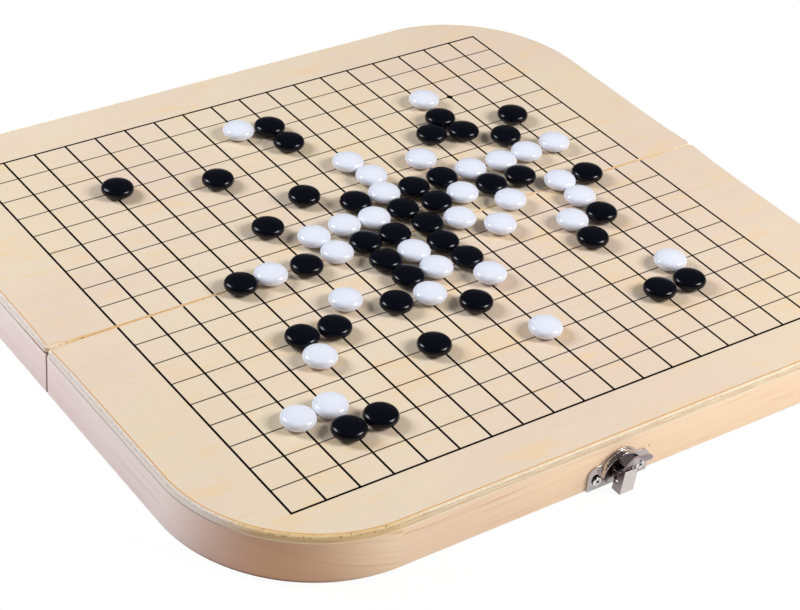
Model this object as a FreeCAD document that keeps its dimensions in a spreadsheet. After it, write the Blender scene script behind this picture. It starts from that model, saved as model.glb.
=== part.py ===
import FreeCAD, Part
import math
import os

import Sketcher

# Folding go board: two hollow halves of plywood on a pine frame, hinged along the middle row of the
# grid, with a case latch on the front half and its strike on the back half.
# Origin: middle of the fold, on the plane of the two rims. X runs along the fold, +Y to the back
# half, +Z up through the playing surface. Millimetres and degrees.

doc = FreeCAD.newDocument("folding_go_board")

# ----------------------------------------------------------------------------- driving dimensions

SIZES = {
    # the two halves
    "board_length": 531.0,      # along the fold
    "half_depth": 245.0,        # from the fold to the outer face
    "seam_gap": 0.6,            # between the two halves when they lie flat
    "panel_thick": 5.0,         # plywood
    "frame_height": 30.0,       # pine, from rim to plywood
    "frame_wall": 14.0,         # outer rails, side rails and corners
    "fold_wall": 14.0,          # rails along the fold
    "corner_radius": 102.0,     # large outer corners, seen from above
    "round_over": 3.0,          # upper edge of the plywood
    "seam_corner": 2.6,         # plan radius of the plywood's corners at the fold
    "side_ease": 1.0,           # upright edges of the frame at the fold
    "seam_ease": 0.8,           # upper plywood edge along the fold
    "rim_ease": 0.8,            # lower outer edge of the frame
    # grid and stones
    "column_pitch": 24.0,
    "row_pitch": 23.0,
    "stone_diameter": 22.8,
    "stone_height": 10.0,
    "stone_edge": 4.2,          # radius of the stone's rounded edge
    "stone_clearance": 0.2,     # under each stone
    # hinges
    "hinge_inset": 95.5,        # from the board's end to the middle of a hinge
    "hinge_length": 50.0,
    "hinge_knuckles": 5.0,
    "hinge_drop": 0.15,         # pin axis below the rims, so that shut rims keep a gap of twice this
    "leaf_width": 11.5,         # from the pin axis to the leaf's free edge
    "leaf_thick": 1.0,
    "knuckle_radius": 1.6,
    "knuckle_gap": 0.2,         # between neighbouring knuckles
    "knuckle_room": 0.3,        # between a knuckle and what it turns beside
    "pin_radius": 0.8,
    "pin_play": 0.05,           # radial, in every hinge and latch bore
    "hinge_screw_place": 6.8,   # from the pin axis
    "hinge_screw_pitch": 34.0,
    "hinge_screw_radius": 1.0,
    "hinge_screw_head": 1.9,
    "hinge_screw_length": 9.0,
    # latch plate on the outer face of the front rail
    "latch_place": -1.0,        # from the middle of the board, to the right
    "latch_width": 47.4,
    "ear_height": 18.0,
    "ear_corner": 6.5,
    "plate_thick": 1.4,
    "hood_centre": 8.5,         # height of the arch's centre above the rim
    "flange_radius": 17.0,      # flat arch of the plate behind the hood
    "hood_radius": 16.0,
    "hood_wall": 1.0,
    "hood_reach": 4.1,          # hood in front of the plate
    "hood_foot": 11.0,          # height above the rim where the hood ends
    "lug_inner": 3.2,           # half distance between the lugs
    "lug_thick": 0.9,
    "boss_radius": 2.6,         # round ends of lugs and links about their pins
    # latch lever
    "lever_pin_out": 5.8,       # lever pin from the wall
    "lever_pin_up": 8.0,        # lever pin above the rim
    "lever_pin_radius": 1.0,
    "cheek_thick": 0.9,
    "cheek_gap": 0.3,           # between cheeks, lugs and hook
    "lever_lean": 63.0,         # degrees above level at rest
    "lever_thick": 1.0,
    "lever_face": 0.65,         # lever's inner face from the pin axis
    "neck_start": 3.0,          # along the lever, from the pin axis
    "blade_start": 8.0,
    "blade_end": 25.0,
    "blade_width": 8.0,
    "flare_radius": 8.0,        # bend of the lever's tip, at its inner face
    "flare_turn": 55.0,         # degrees
    "tip_length": 3.8,          # straight end after the bend
    "tip_round": 3.0,           # corners of the tip, seen from above
    "link_overlap": 2.0,        # how far the cheeks run in under the blade's neck
    # latch hook
    "hook_pin_out": 7.6,
    "hook_pin_up": 12.6,
    "hook_pin_radius": 0.8,
    "hook_pin_boss": 1.7,
    "hook_inner": 4.4,          # half distance between the hook's cheeks
    "hook_thick": 0.9,
    "hook_top_out": 12.9,
    "hook_top_up": 16.8,
    "hook_foot_out": 11.4,
    "hook_foot_down": 2.1,      # below the rim
    "hook_back_out": 3.7,
    "hook_shoulder_up": 10.4,   # where the sloping upper edge of the cheek meets its back edge
    "hook_lip": 0.7,
    "hook_lip_out": 6.9,        # inner edge of the lip
    "window_out": 4.6,
    "window_up": 4.4,
    "window_width": 3.2,
    "window_height": 4.8,
    # screws of latch and strike
    "latch_screw_place": 17.1,
    "latch_screw_up": 7.2,
    "latch_screw_radius": 1.4,
    "latch_screw_length": 10.0,
    "latch_head_radius": 3.3,
    "latch_head_height": 1.5,
    "cross_width": 0.9,
    "cross_length": 3.8,
    "cross_depth": 0.9,
    "cross_turn": 45.0,         # degrees
    # strike on the outer face of the back rail
    "strike_width": 30.0,
    "strike_height": 13.0,
    "strike_corner": 3.0,
    "strike_lip_width": 8.0,
    "strike_lip_thick": 0.7,
    "strike_reach": 6.5,        # lip's edge from the wall
    "strike_screw_place": 10.0,
    "strike_screw_up": 7.0,
}

# stones, as (column, row) in cells of the grid from its left and back lines
BLACK_BACK = [
    (8.8, 2.2), (3.1, 3.15), (8.85, 3.25), (5.9, 4.1), (13.75, 4.25), (12.95, 4.95), (13.95, 5.25),
    (15.9, 5.15), (7.65, 6.1), (14.95, 6.1), (5.85, 7.05), (8.8, 7.1), (10.75, 7.25), (11.8, 7.2),
    (9.8, 8.1), (10.9, 8.25), (12.9, 8.2), (13.95, 8.25),
]
WHITE_BACK = [
    (7.85, 1.95), (13.95, 3.05), (9.8, 5.1), (10.0, 6.1), (11.85, 6.0), (9.8, 7.1), (12.85, 7.2),
    (13.95, 7.25), (14.95, 7.2), (16.05, 7.15), (6.75, 8.1), (7.84, 8.0), (8.8, 8.1), (11.86, 8.2),
]
BLACK_FRONT = [
    (3.74, 9.15), (5.8, 9.25), (7.89, 9.05), (8.85, 9.1), (10.0, 9.1), (15.85, 9.1), (7.89, 10.1),
    (9.85, 10.1), (7.99, 11.1), (10.0, 11.1), (14.85, 11.1), (3.9, 12.1), (4.9, 12.15), (7.0, 12.0),
    (13.8, 12.05), (8.95, 13.05), (6.8, 14.15), (13.85, 15.1), (14.9, 15.15), (2.85, 16.1),
    (3.85, 16.05),
]
WHITE_FRONT = [
    (4.7, 9.15), (6.9, 9.1), (11.0, 9.3), (12.9, 9.2), (14.85, 9.05), (8.85, 10.1), (11.85, 10.15),
    (14.85, 10.05), (5.85, 11.2), (8.95, 11.1), (13.85, 11.0), (8.05, 12.1), (10.1, 12.1),
    (3.85, 13.1), (15.05, 14.1), (1.95, 15.1), (2.95, 15.05), (9.9, 15.0),
]
MIDDLE_LINE = 9     # column and row that cross in the middle of the board

sheet = doc.addObject("Spreadsheet::Sheet", "sizes")
for row, (alias, value) in enumerate(SIZES.items(), start=1):
    sheet.set("A%d" % row, alias)
    sheet.set("B%d" % row, str(value))
    sheet.setAlias("B%d" % row, alias)
doc.recompute()


class Size:
    """A number together with the sheet formula that gives it."""

    def __init__(self, value, formula):
        self.value = value
        self.formula = formula

    def __add__(self, other):
        other = size_of(other)
        return Size(self.value + other.value, "(%s + %s)" % (self.formula, other.formula))

    def __sub__(self, other):
        other = size_of(other)
        return Size(self.value - other.value, "(%s - %s)" % (self.formula, other.formula))

    def __mul__(self, other):
        other = size_of(other)
        return Size(self.value * other.value, "(%s * %s)" % (self.formula, other.formula))

    def __truediv__(self, other):
        other = size_of(other)
        return Size(self.value / other.value, "(%s / %s)" % (self.formula, other.formula))

    def __neg__(self):
        return Size(-self.value, "(-1 * %s)" % self.formula)

    def __radd__(self, other):
        return size_of(other) + self

    def __rsub__(self, other):
        return size_of(other) - self

    def __rmul__(self, other):
        return size_of(other) * self


def size_of(number):
    if isinstance(number, Size):
        return number
    return Size(float(number), repr(float(number)))


def cell(alias):
    return Size(float(sheet.get(alias)), "sizes." + alias)


def cosine(angle):
    return Size(math.cos(math.radians(angle.value)), "cos(%s * 1 deg)" % angle.formula)


def sine(angle):
    return Size(math.sin(math.radians(angle.value)), "sin(%s * 1 deg)" % angle.formula)


# ----------------------------------------------------------------------------- shared tools

TURN_AXIS = FreeCAD.Vector(0, 0, 1)
nodes = []


def bind(thing, name, size):
    thing.setExpression(name, size_of(size).formula)


def place(thing, x, y, z, turn=0.0):
    """Turn about Z by a fixed angle, then move to x, y, z."""
    thing.Placement = FreeCAD.Placement(FreeCAD.Vector(0, 0, 0), FreeCAD.Rotation(TURN_AXIS, turn))
    for axis, size in (("x", x), ("y", y), ("z", z)):
        bind(thing, "Placement.Base." + axis, size)


def keep(thing, label):
    """Give a finished sub-part its own name."""
    thing.Label = label
    nodes.append(thing)
    return thing


def new_body(name):
    return doc.addObject("PartDesign::Body", name)


def new_sketch(body, plane, offset=0.0):
    """Sketch on an origin plane of the body: XY_Plane, XZ_Plane or YZ_Plane."""
    sketch = body.newObject("Sketcher::SketchObject", body.Name + "_sketch")
    origin_plane = [f for f in body.Origin.OriginFeatures if f.Role == plane][0]
    sketch.AttachmentSupport = [(origin_plane, "")]
    sketch.MapMode = "FlatFace"
    bind(sketch, "AttachmentOffset.Base.z", offset)
    return sketch


def pin_point(sketch, geometry, position, x, y):
    """Hold a point of the sketch at x, y from its origin."""
    for kind, axis, size in (("DistanceX", -2, size_of(x)), ("DistanceY", -1, size_of(y))):
        if size.formula == "0.0":
            sketch.addConstraint(Sketcher.Constraint("PointOnObject", geometry, position, axis))
            continue
        rule = Sketcher.Constraint(kind, -1, 1, geometry, position, size.value)
        index = sketch.addConstraint(rule)
        sketch.setExpression("Constraints[%d]" % index, size.formula)


def polygon(sketch, corners):
    first = sketch.GeometryCount
    count = len(corners)
    points = [FreeCAD.Vector(size_of(x).value, size_of(y).value, 0) for x, y in corners]
    for i in range(count):
        sketch.addGeometry(Part.LineSegment(points[i], points[(i + 1) % count]), False)
    for i in range(count):
        follower = first + (i + 1) % count
        sketch.addConstraint(Sketcher.Constraint("Coincident", first + i, 2, follower, 1))
    for i, (x, y) in enumerate(corners):
        pin_point(sketch, first + i, 1, x, y)


def rectangle(sketch, x0, y0, x1, y1):
    polygon(sketch, [(x0, y0), (x1, y0), (x1, y1), (x0, y1)])


def circle(sketch, x, y, radius):
    centre = FreeCAD.Vector(size_of(x).value, size_of(y).value, 0)
    shape = Part.Circle(centre, FreeCAD.Vector(0, 0, 1), size_of(radius).value)
    index = sketch.addGeometry(shape, False)
    pin_point(sketch, index, 3, x, y)
    rule = sketch.addConstraint(Sketcher.Constraint("Radius", index, size_of(radius).value))
    sketch.setExpression("Constraints[%d]" % rule, size_of(radius).formula)


def pad(body, sketch, length):
    """Add along the sketch's normal."""
    feature = body.newObject("PartDesign::Pad", body.Name + "_pad")
    feature.Profile = sketch
    bind(feature, "Length", length)
    doc.recompute()
    return feature


def pocket(body, sketch, length):
    """Cut along the sketch's normal; the cut must take something off."""
    before = body.Shape.Volume
    feature = body.newObject("PartDesign::Pocket", body.Name + "_pocket")
    feature.Profile = sketch
    feature.Reversed = True
    bind(feature, "Length", length)
    doc.recompute()
    if body.Shape.Volume > before - 1e-3:
        raise RuntimeError("%s cuts nothing" % feature.Name)
    return feature


def fillet(body, radius, picks):
    """Round the edges of the body for which picks(edge) is true."""
    base = body.Tip
    names = ["Edge%d" % i for i, edge in enumerate(base.Shape.Edges, start=1) if picks(edge)]
    if not names:
        raise RuntimeError("%s has no such edge" % body.Name)
    feature = body.newObject("PartDesign::Fillet", body.Name + "_fillet")
    feature.Base = (base, names)
    bind(feature, "Radius", radius)
    doc.recompute()
    return feature


def near(a, b):
    return abs(a - size_of(b).value) < 1e-4


def upright_at(x, y):
    """Test for the vertical edge through x, y."""
    def picks(edge):
        box = edge.BoundBox
        return near(box.XLength, 0) and near(box.YLength, 0) and near(box.XMin, x) and near(box.YMin, y)
    return picks


def primitive(kind, name, sizes):
    thing = doc.addObject("Part::" + kind, name)
    for alias, size in sizes.items():
        bind(thing, alias, size)
    return thing


def box(name, x, y, z, length, width, height):
    thing = primitive("Box", name, {"Length": length, "Width": width, "Height": height})
    place(thing, x, y, z)
    return thing


def rod(name, axis, x, y, z, radius, length):
    """Cylinder from x, y, z along +X, +Y or +Z."""
    thing = primitive("Cylinder", name, {"Radius": radius, "Height": length})
    turns = {
        "X": FreeCAD.Rotation(FreeCAD.Vector(0, 1, 0), 90),
        "Y": FreeCAD.Rotation(FreeCAD.Vector(1, 0, 0), -90),
        "Z": FreeCAD.Rotation(),
    }
    thing.Placement = FreeCAD.Placement(FreeCAD.Vector(0, 0, 0), turns[axis])
    for letter, size in (("x", x), ("y", y), ("z", z)):
        bind(thing, "Placement.Base." + letter, size)
    return thing


def fuse(name, parts):
    if len(parts) == 1:
        return parts[0]
    thing = doc.addObject("Part::MultiFuse", name)
    thing.Shapes = parts
    thing.Refine = True
    return thing


def cut(name, base, parts):
    thing = doc.addObject("Part::Cut", name)
    thing.Base = base
    thing.Tool = fuse(name + "_tools", parts)
    return thing


# ----------------------------------------------------------------------------- named values

half_length = cell("board_length") / 2
half_gap = cell("seam_gap") / 2
outer_face = half_gap + cell("half_depth")
corner_x = half_length - cell("corner_radius")
corner_y = outer_face - cell("corner_radius")
inner_half = half_length - cell("frame_wall")
fold_face = half_gap + cell("fold_wall")
frame_top = cell("frame_height")
panel_top = cell("frame_height") + cell("panel_thick")
pin_height = -cell("hinge_drop")
bore_radius = cell("pin_radius") + cell("pin_play")
hinge_place = half_length - cell("hinge_inset")

HALVES = {"front": 180.0, "back": 0.0}      # turn about Z of each half, which is drawn as the back one


def half_signs(turn):
    """-1 on the half that is turned to the front, else 1."""
    return -1 if turn else 1


def side_name(sign, turn):
    return "right" if sign * half_signs(turn) > 0 else "left"


# ----------------------------------------------------------------------------- wooden halves

def corner_scrap(sketch, sign):
    """What rounding takes off the corner of a half at the fold: two lines and a quarter arc."""
    radius = cell("seam_corner")
    tip = (sign * half_length, half_gap)
    up_end = (sign * half_length, half_gap + radius)
    fold_end = (sign * (half_length - radius), half_gap)
    centre_x = sign * (half_length - radius)
    centre = FreeCAD.Vector(centre_x.value, up_end[1].value, 0)
    ring = Part.Circle(centre, FreeCAD.Vector(0, 0, 1), radius.value)
    quarter = math.pi / 2
    start = 3 * quarter if sign > 0 else 2 * quarter
    ends = [FreeCAD.Vector(x.value, y.value, 0) for x, y in (tip, up_end, fold_end)]
    sketch.addGeometry(Part.LineSegment(ends[0], ends[1]), False)
    sketch.addGeometry(Part.LineSegment(ends[2], ends[0]), False)
    sketch.addGeometry(Part.ArcOfCircle(ring, start, start + quarter), False)
    sketch.addConstraint(Sketcher.Constraint("Coincident", 0, 1, 1, 2))
    pin_point(sketch, 0, 1, *tip)
    pin_point(sketch, 0, 2, *up_end)
    pin_point(sketch, 1, 1, *fold_end)
    up_point, fold_point = (2, 1) if sign > 0 else (1, 2)
    sketch.addConstraint(Sketcher.Constraint("Coincident", 2, up_point, 0, 2))
    sketch.addConstraint(Sketcher.Constraint("Coincident", 2, fold_point, 1, 1))
    rule = sketch.addConstraint(Sketcher.Constraint("DistanceX", -1, 1, 2, 3, centre_x.value))
    sketch.setExpression("Constraints[%d]" % rule, centre_x.formula)


def make_panel(half, turn):
    """Plywood top: large outer corners, small ones at the fold, rounded upper edges."""
    body = new_body(half + "_panel")
    sketch = new_sketch(body, "XY_Plane", frame_top)
    rectangle(sketch, -half_length, half_gap, half_length, outer_face)
    pad(body, sketch, cell("panel_thick"))
    for x in (-half_length, half_length):
        fillet(body, cell("corner_radius"), upright_at(x.value, outer_face.value))

    def on_top(edge):
        return near(edge.BoundBox.ZMin, panel_top)

    def along_fold(edge):
        return on_top(edge) and near(edge.BoundBox.YMax, half_gap)

    def along_outside(edge):
        return on_top(edge) and edge.BoundBox.YMax > half_gap.value + 1

    fillet(body, cell("round_over"), along_outside)
    fillet(body, cell("seam_ease"), along_fold)
    for sign in (-1, 1):
        scrap = new_sketch(body, "XY_Plane", frame_top)
        corner_scrap(scrap, sign)
        pocket(body, scrap, cell("panel_thick"))
    place(body, 0, 0, 0, turn)
    keep(body, half + "_panel")


def pin_holes(name, x_places, y, z, radius, length):
    """Pilot holes for wood screws that run in along +Z."""
    return [rod("%s_hole_%d" % (name, i), "Z", x, y, z, radius, length)
            for i, x in enumerate(x_places)]


def plate_centre(turn):
    """Middle of the latch or strike along the outer face of a half, drawn as the back one."""
    return half_signs(turn) * cell("latch_place")


def make_outer_rail(half, turn, screw_place, screw_up):
    """Long rail opposite the fold, drilled for the screws of its latch or strike."""
    body = new_body(half + "_rail")
    sketch = new_sketch(body, "XY_Plane")
    rectangle(sketch, -corner_x, outer_face - cell("frame_wall"), corner_x, outer_face)
    pad(body, sketch, cell("frame_height"))

    def lower_outer(edge):
        return near(edge.BoundBox.ZMax, 0) and near(edge.BoundBox.YMin, outer_face)

    fillet(body, cell("rim_ease"), lower_outer)
    holes = new_sketch(body, "XZ_Plane", -outer_face)
    for sign in (-1, 1):
        circle(holes, plate_centre(turn) + sign * screw_place, screw_up, cell("latch_screw_radius"))
    pocket(body, holes, cell("latch_screw_length"))
    place(body, 0, 0, 0, turn)
    keep(body, half + "_rail")


def make_side_rail(half, turn, sign):
    """Short rail from the fold to the curved corner, eased where the halves meet."""
    name = "%s_%s_side" % (half, side_name(sign, turn))
    body = new_body(name)
    sketch = new_sketch(body, "XY_Plane")
    rectangle(sketch, sign * inner_half, half_gap, sign * half_length, corner_y)
    pad(body, sketch, cell("frame_height"))
    fillet(body, cell("side_ease"), upright_at(sign * half_length.value, half_gap.value))

    def lower_outer(edge):
        box_of = edge.BoundBox
        return near(box_of.ZMax, 0) and near(box_of.XLength, 0) and near(box_of.XMin, sign * half_length)

    fillet(body, cell("rim_ease"), lower_outer)
    place(body, 0, 0, 0, turn)
    keep(body, name)


def make_corner(half, turn, sign):
    """Quarter ring between an outer rail and a side rail."""
    name = "%s_%s_corner" % (half, side_name(sign, turn))
    body = new_body(name)
    sketch = new_sketch(body, "XZ_Plane")
    inner_radius = cell("corner_radius") - cell("frame_wall")
    rectangle(sketch, inner_radius, 0, cell("corner_radius"), cell("frame_height"))
    ring = body.newObject("PartDesign::Revolution", name + "_ring")
    ring.Profile = sketch
    ring.ReferenceAxis = ([f for f in body.Origin.OriginFeatures if f.Role == "Z_Axis"][0], [""])
    ring.Angle = 90.0
    doc.recompute()
    if ring.Shape.BoundBox.YMax < inner_radius.value:
        ring.Reversed = True
        doc.recompute()

    def lower_outer(edge):
        box_of = edge.BoundBox
        return near(box_of.ZMax, 0) and near(box_of.XLength, cell("corner_radius"))

    fillet(body, cell("rim_ease"), lower_outer)
    world = half_signs(turn)
    corner_turn = 0.0 if sign > 0 else 90.0
    place(body, world * sign * corner_x, world * corner_y, 0, turn + corner_turn)
    keep(body, name)


def hinge_centres():
    return [-hinge_place, hinge_place]


def hinge_screw_places():
    half_pitch = cell("hinge_screw_pitch") / 2
    return [x + step for x in hinge_centres() for step in (-half_pitch, half_pitch)]


def make_fold_rail(half, turn):
    """Rail along the fold, with a mortise for each hinge leaf and room for its knuckles."""
    name = half + "_fold_rail"
    rail = box(name + "_blank", -inner_half, half_gap, 0, 2 * inner_half, cell("fold_wall"), frame_top)
    room = cell("knuckle_radius") + cell("knuckle_room")
    long_room = cell("hinge_length") + 2 * cell("knuckle_room")
    tools = []
    for i, x in enumerate(hinge_centres()):
        mortise = "%s_mortise_%d" % (name, i)
        tools.append(box(mortise, x - cell("hinge_length") / 2, 0, 0,
                         cell("hinge_length"), cell("leaf_width"), cell("leaf_thick")))
        tools.append(rod(mortise + "_room", "X", x - long_room / 2, 0, pin_height, room, long_room))
    tools += pin_holes(name, hinge_screw_places(), cell("hinge_screw_place"), 0,
                       cell("hinge_screw_radius"), cell("hinge_screw_length"))
    rail = cut(name, rail, tools)
    place(rail, 0, 0, 0, turn)
    keep(rail, name)


# ----------------------------------------------------------------------------- hinges

def knuckle_span(index):
    """Start and length of one knuckle, from the end of the hinge."""
    pitch = cell("hinge_length") / cell("hinge_knuckles")
    start = index * pitch + cell("knuckle_gap") / 2
    return start, pitch - cell("knuckle_gap")


def make_leaf(name, x_centre, turn, own_first):
    """Hinge leaf let into the rim, with every second knuckle of the hinge."""
    x_start = -cell("hinge_length") / 2
    clear = cell("knuckle_radius") + cell("knuckle_room")
    plate = box(name + "_plate", x_start, clear, 0,
                cell("hinge_length"), cell("leaf_width") - clear, cell("leaf_thick"))
    parts = [plate]
    for i in range(own_first, int(SIZES["hinge_knuckles"]), 2):
        start, length = knuckle_span(i)
        parts.append(rod("%s_knuckle_%d" % (name, i), "X", x_start + start, 0, pin_height,
                         cell("knuckle_radius"), length))
        parts.append(box("%s_web_%d" % (name, i), x_start + start, 0, 0,
                         length, clear, cell("leaf_thick")))
    leaf = fuse(name + "_solid", parts)
    tools = [rod(name + "_bore", "X", x_start, 0, pin_height, bore_radius, cell("hinge_length"))]
    half_pitch = cell("hinge_screw_pitch") / 2
    for i, x in enumerate((-half_pitch, half_pitch)):
        sink = primitive("Cone", "%s_sink_%d" % (name, i), {
            "Radius1": cell("hinge_screw_head"),
            "Radius2": cell("hinge_screw_radius"),
            "Height": cell("leaf_thick"),
        })
        place(sink, x, cell("hinge_screw_place"), 0)
        tools.append(sink)
    leaf = cut(name, leaf, tools)
    place(leaf, x_centre, 0, 0, turn)
    keep(leaf, name)


def make_hinge(side, x_centre):
    for first_knuckle, (half, turn) in enumerate(HALVES.items()):
        make_leaf("%s_hinge_%s_leaf" % (side, half), x_centre, turn, first_knuckle)
    pin = rod(side + "_hinge_pin", "X", x_centre - cell("hinge_length") / 2, 0, pin_height,
              cell("pin_radius"), cell("hinge_length"))
    keep(pin, side + "_hinge_pin")


def make_hinge_screws(half, turn):
    """Countersunk screws, flush with the leaves."""
    name = half + "_hinge_screws"
    screws = []
    for i, x in enumerate(hinge_screw_places()):
        shank = rod("%s_shank_%d" % (name, i), "Z", x, cell("hinge_screw_place"), cell("leaf_thick"),
                    cell("hinge_screw_radius"), cell("hinge_screw_length") - cell("leaf_thick"))
        head = primitive("Cone", "%s_head_%d" % (name, i), {
            "Radius1": cell("hinge_screw_head"),
            "Radius2": cell("hinge_screw_radius"),
            "Height": cell("leaf_thick"),
        })
        place(head, x, cell("hinge_screw_place"), 0)
        screws += [shank, head]
    group = fuse(name, screws)
    place(group, 0, 0, 0, turn)
    keep(group, name)


# ----------------------------------------------------------------------------- latch
# The latch is drawn with X along the wall, Y out of the wall and Z up from the rim, then turned
# to the front wall.

lever_x = cell("lug_inner") - cell("cheek_gap")     # outer face of the lever's cheeks
hook_x = cell("hook_inner") + cell("hook_thick")    # outer face of the hook's cheeks


def to_front_wall(body):
    place(body, cell("latch_place"), -outer_face, 0, HALVES["front"])


def make_latch_plate():
    """Screwed plate: two ears, an arched hood and two lugs for the lever pin."""
    body = new_body("latch_plate")
    half_width = cell("latch_width") / 2
    sketch = new_sketch(body, "XZ_Plane", -cell("plate_thick"))
    rectangle(sketch, -half_width, 0, half_width, cell("ear_height"))
    pad(body, sketch, cell("plate_thick"))
    for sign in (-1, 1):

        def ear_corner(edge, sign=sign):
            box_of = edge.BoundBox
            return (near(box_of.XLength, 0) and near(box_of.ZLength, 0)
                    and near(box_of.XMin, sign * half_width) and near(box_of.ZMin, cell("ear_height")))

        fillet(body, cell("ear_corner"), ear_corner)
    arch = new_sketch(body, "XZ_Plane", -cell("plate_thick"))
    circle(arch, 0, cell("hood_centre"), cell("flange_radius"))
    pad(body, arch, cell("plate_thick"))
    hood = new_sketch(body, "XZ_Plane", -(cell("plate_thick") + cell("hood_reach")))
    circle(hood, 0, cell("hood_centre"), cell("hood_radius"))
    pad(body, hood, cell("hood_reach"))
    hollow = new_sketch(body, "XZ_Plane", -(cell("plate_thick") + cell("hood_reach")))
    circle(hollow, 0, cell("hood_centre"), cell("hood_radius") - cell("hood_wall"))
    pocket(body, hollow, cell("hood_reach"))
    below = new_sketch(body, "XZ_Plane", -(cell("plate_thick") + cell("hood_reach")))
    rectangle(below, -half_width, -half_width, half_width, cell("hood_foot"))
    pocket(body, below, cell("hood_reach"))
    overhang = new_sketch(body, "XZ_Plane", -cell("plate_thick"))
    rectangle(overhang, -half_width, -half_width, half_width, 0)
    pocket(body, overhang, cell("plate_thick"))
    for start in (-cell("lug_inner") - cell("lug_thick"), cell("lug_inner")):
        web = new_sketch(body, "YZ_Plane", start)
        low = cell("lever_pin_up") - cell("boss_radius")
        high = cell("lever_pin_up") + cell("boss_radius")
        rectangle(web, cell("plate_thick") / 2, low, cell("lever_pin_out"), high)
        pad(body, web, cell("lug_thick"))
        boss = new_sketch(body, "YZ_Plane", start)
        circle(boss, cell("lever_pin_out"), cell("lever_pin_up"), cell("boss_radius"))
        pad(body, boss, cell("lug_thick"))
    bore = new_sketch(body, "YZ_Plane", -half_width)
    circle(bore, cell("lever_pin_out"), cell("lever_pin_up"), cell("lever_pin_radius") + cell("pin_play"))
    pocket(body, bore, cell("latch_width"))
    screw_holes = new_sketch(body, "XZ_Plane", -cell("plate_thick"))
    for sign in (-1, 1):
        circle(screw_holes, sign * cell("latch_screw_place"), cell("latch_screw_up"),
               cell("latch_screw_radius"))
    pocket(body, screw_holes, cell("plate_thick"))
    to_front_wall(body)
    keep(body, "latch_plate")


def along_lever(distance, offset):
    """Point at a distance along the lever and an offset towards the wall from its pin axis."""
    lean = cell("lever_lean")
    out = cell("lever_pin_out") + distance * cosine(lean) - offset * sine(lean)
    up = cell("lever_pin_up") + distance * sine(lean) + offset * cosine(lean)
    return out, up


def make_latch_lever():
    """Two cheeks on the lever pin, a neck between them and a blade with a flared, rounded tip."""
    body = new_body("latch_lever")
    face = cell("lever_face")
    back = face - cell("lever_thick")
    neck = new_sketch(body, "YZ_Plane", -lever_x)
    polygon(neck, [along_lever(cell("neck_start"), face), along_lever(cell("neck_start"), back),
                   along_lever(cell("blade_start"), back), along_lever(cell("blade_start"), face)])
    pad(body, neck, 2 * lever_x)
    link_end = cell("neck_start") + cell("link_overlap")
    half_blade = cell("blade_width") / 2
    blade = new_sketch(body, "YZ_Plane", -half_blade)
    polygon(blade, [along_lever(cell("blade_start"), face), along_lever(cell("blade_start"), back),
                    along_lever(cell("blade_end"), back), along_lever(cell("blade_end"), face)])
    pad(body, blade, cell("blade_width"))
    flare = new_sketch(body, "YZ_Plane", -half_blade)
    flare_points = flare_outline(face, back)
    polygon(flare, flare_points)
    pad(body, flare, cell("blade_width"))
    tip_out = max(out.value for out, up in flare_points)

    def tip_corner(edge):
        box_of = edge.BoundBox
        return (near(box_of.XLength, 0) and near(box_of.YMax, tip_out)
                and near(edge.Length, cell("lever_thick")))

    fillet(body, cell("tip_round"), tip_corner)
    for start in (-lever_x, lever_x - cell("cheek_thick")):
        for out, up, radius in (
            (cell("lever_pin_out"), cell("lever_pin_up"), cell("boss_radius")),
            (cell("hook_pin_out"), cell("hook_pin_up"), cell("hook_pin_boss")),
        ):
            round_end = new_sketch(body, "YZ_Plane", start)
            circle(round_end, out, up, radius)
            pad(body, round_end, cell("cheek_thick"))
        web = new_sketch(body, "YZ_Plane", start)
        polygon(web, [along_lever(0, cell("hook_pin_boss")), along_lever(0, -cell("hook_pin_boss")),
                      along_lever(link_end, -cell("hook_pin_boss")),
                      along_lever(link_end, cell("hook_pin_boss"))])
        pad(body, web, cell("cheek_thick"))
    bores = new_sketch(body, "YZ_Plane", -half_blade)
    circle(bores, cell("lever_pin_out"), cell("lever_pin_up"), cell("lever_pin_radius") + cell("pin_play"))
    circle(bores, cell("hook_pin_out"), cell("hook_pin_up"), cell("hook_pin_radius") + cell("pin_play"))
    pocket(body, bores, cell("blade_width"))
    to_front_wall(body)
    keep(body, "latch_lever")


FLARE_STEPS = 6


def flare_outline(face, back):
    """Outline of the bend and the straight tip: inner face out and outer face home."""
    lean = cell("lever_lean")
    bend = cell("flare_radius")
    # the bend's centre lies on the outer side, a flare radius from the inner face
    centre_out, centre_up = along_lever(cell("blade_end"), face - bend)
    inner = []
    outer = []
    for i in range(FLARE_STEPS + 1):
        angle = lean + 90 - cell("flare_turn") * (i / FLARE_STEPS)
        thin = bend - (face - back)
        inner.append((centre_out + bend * cosine(angle), centre_up + bend * sine(angle)))
        outer.append((centre_out + thin * cosine(angle), centre_up + thin * sine(angle)))
    end = lean - cell("flare_turn")
    reach_out = cell("tip_length") * cosine(end)
    reach_up = cell("tip_length") * sine(end)
    inner.append((inner[-1][0] + reach_out, inner[-1][1] + reach_up))
    outer.append((outer[-1][0] + reach_out, outer[-1][1] + reach_up))
    return inner + outer[::-1]


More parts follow.
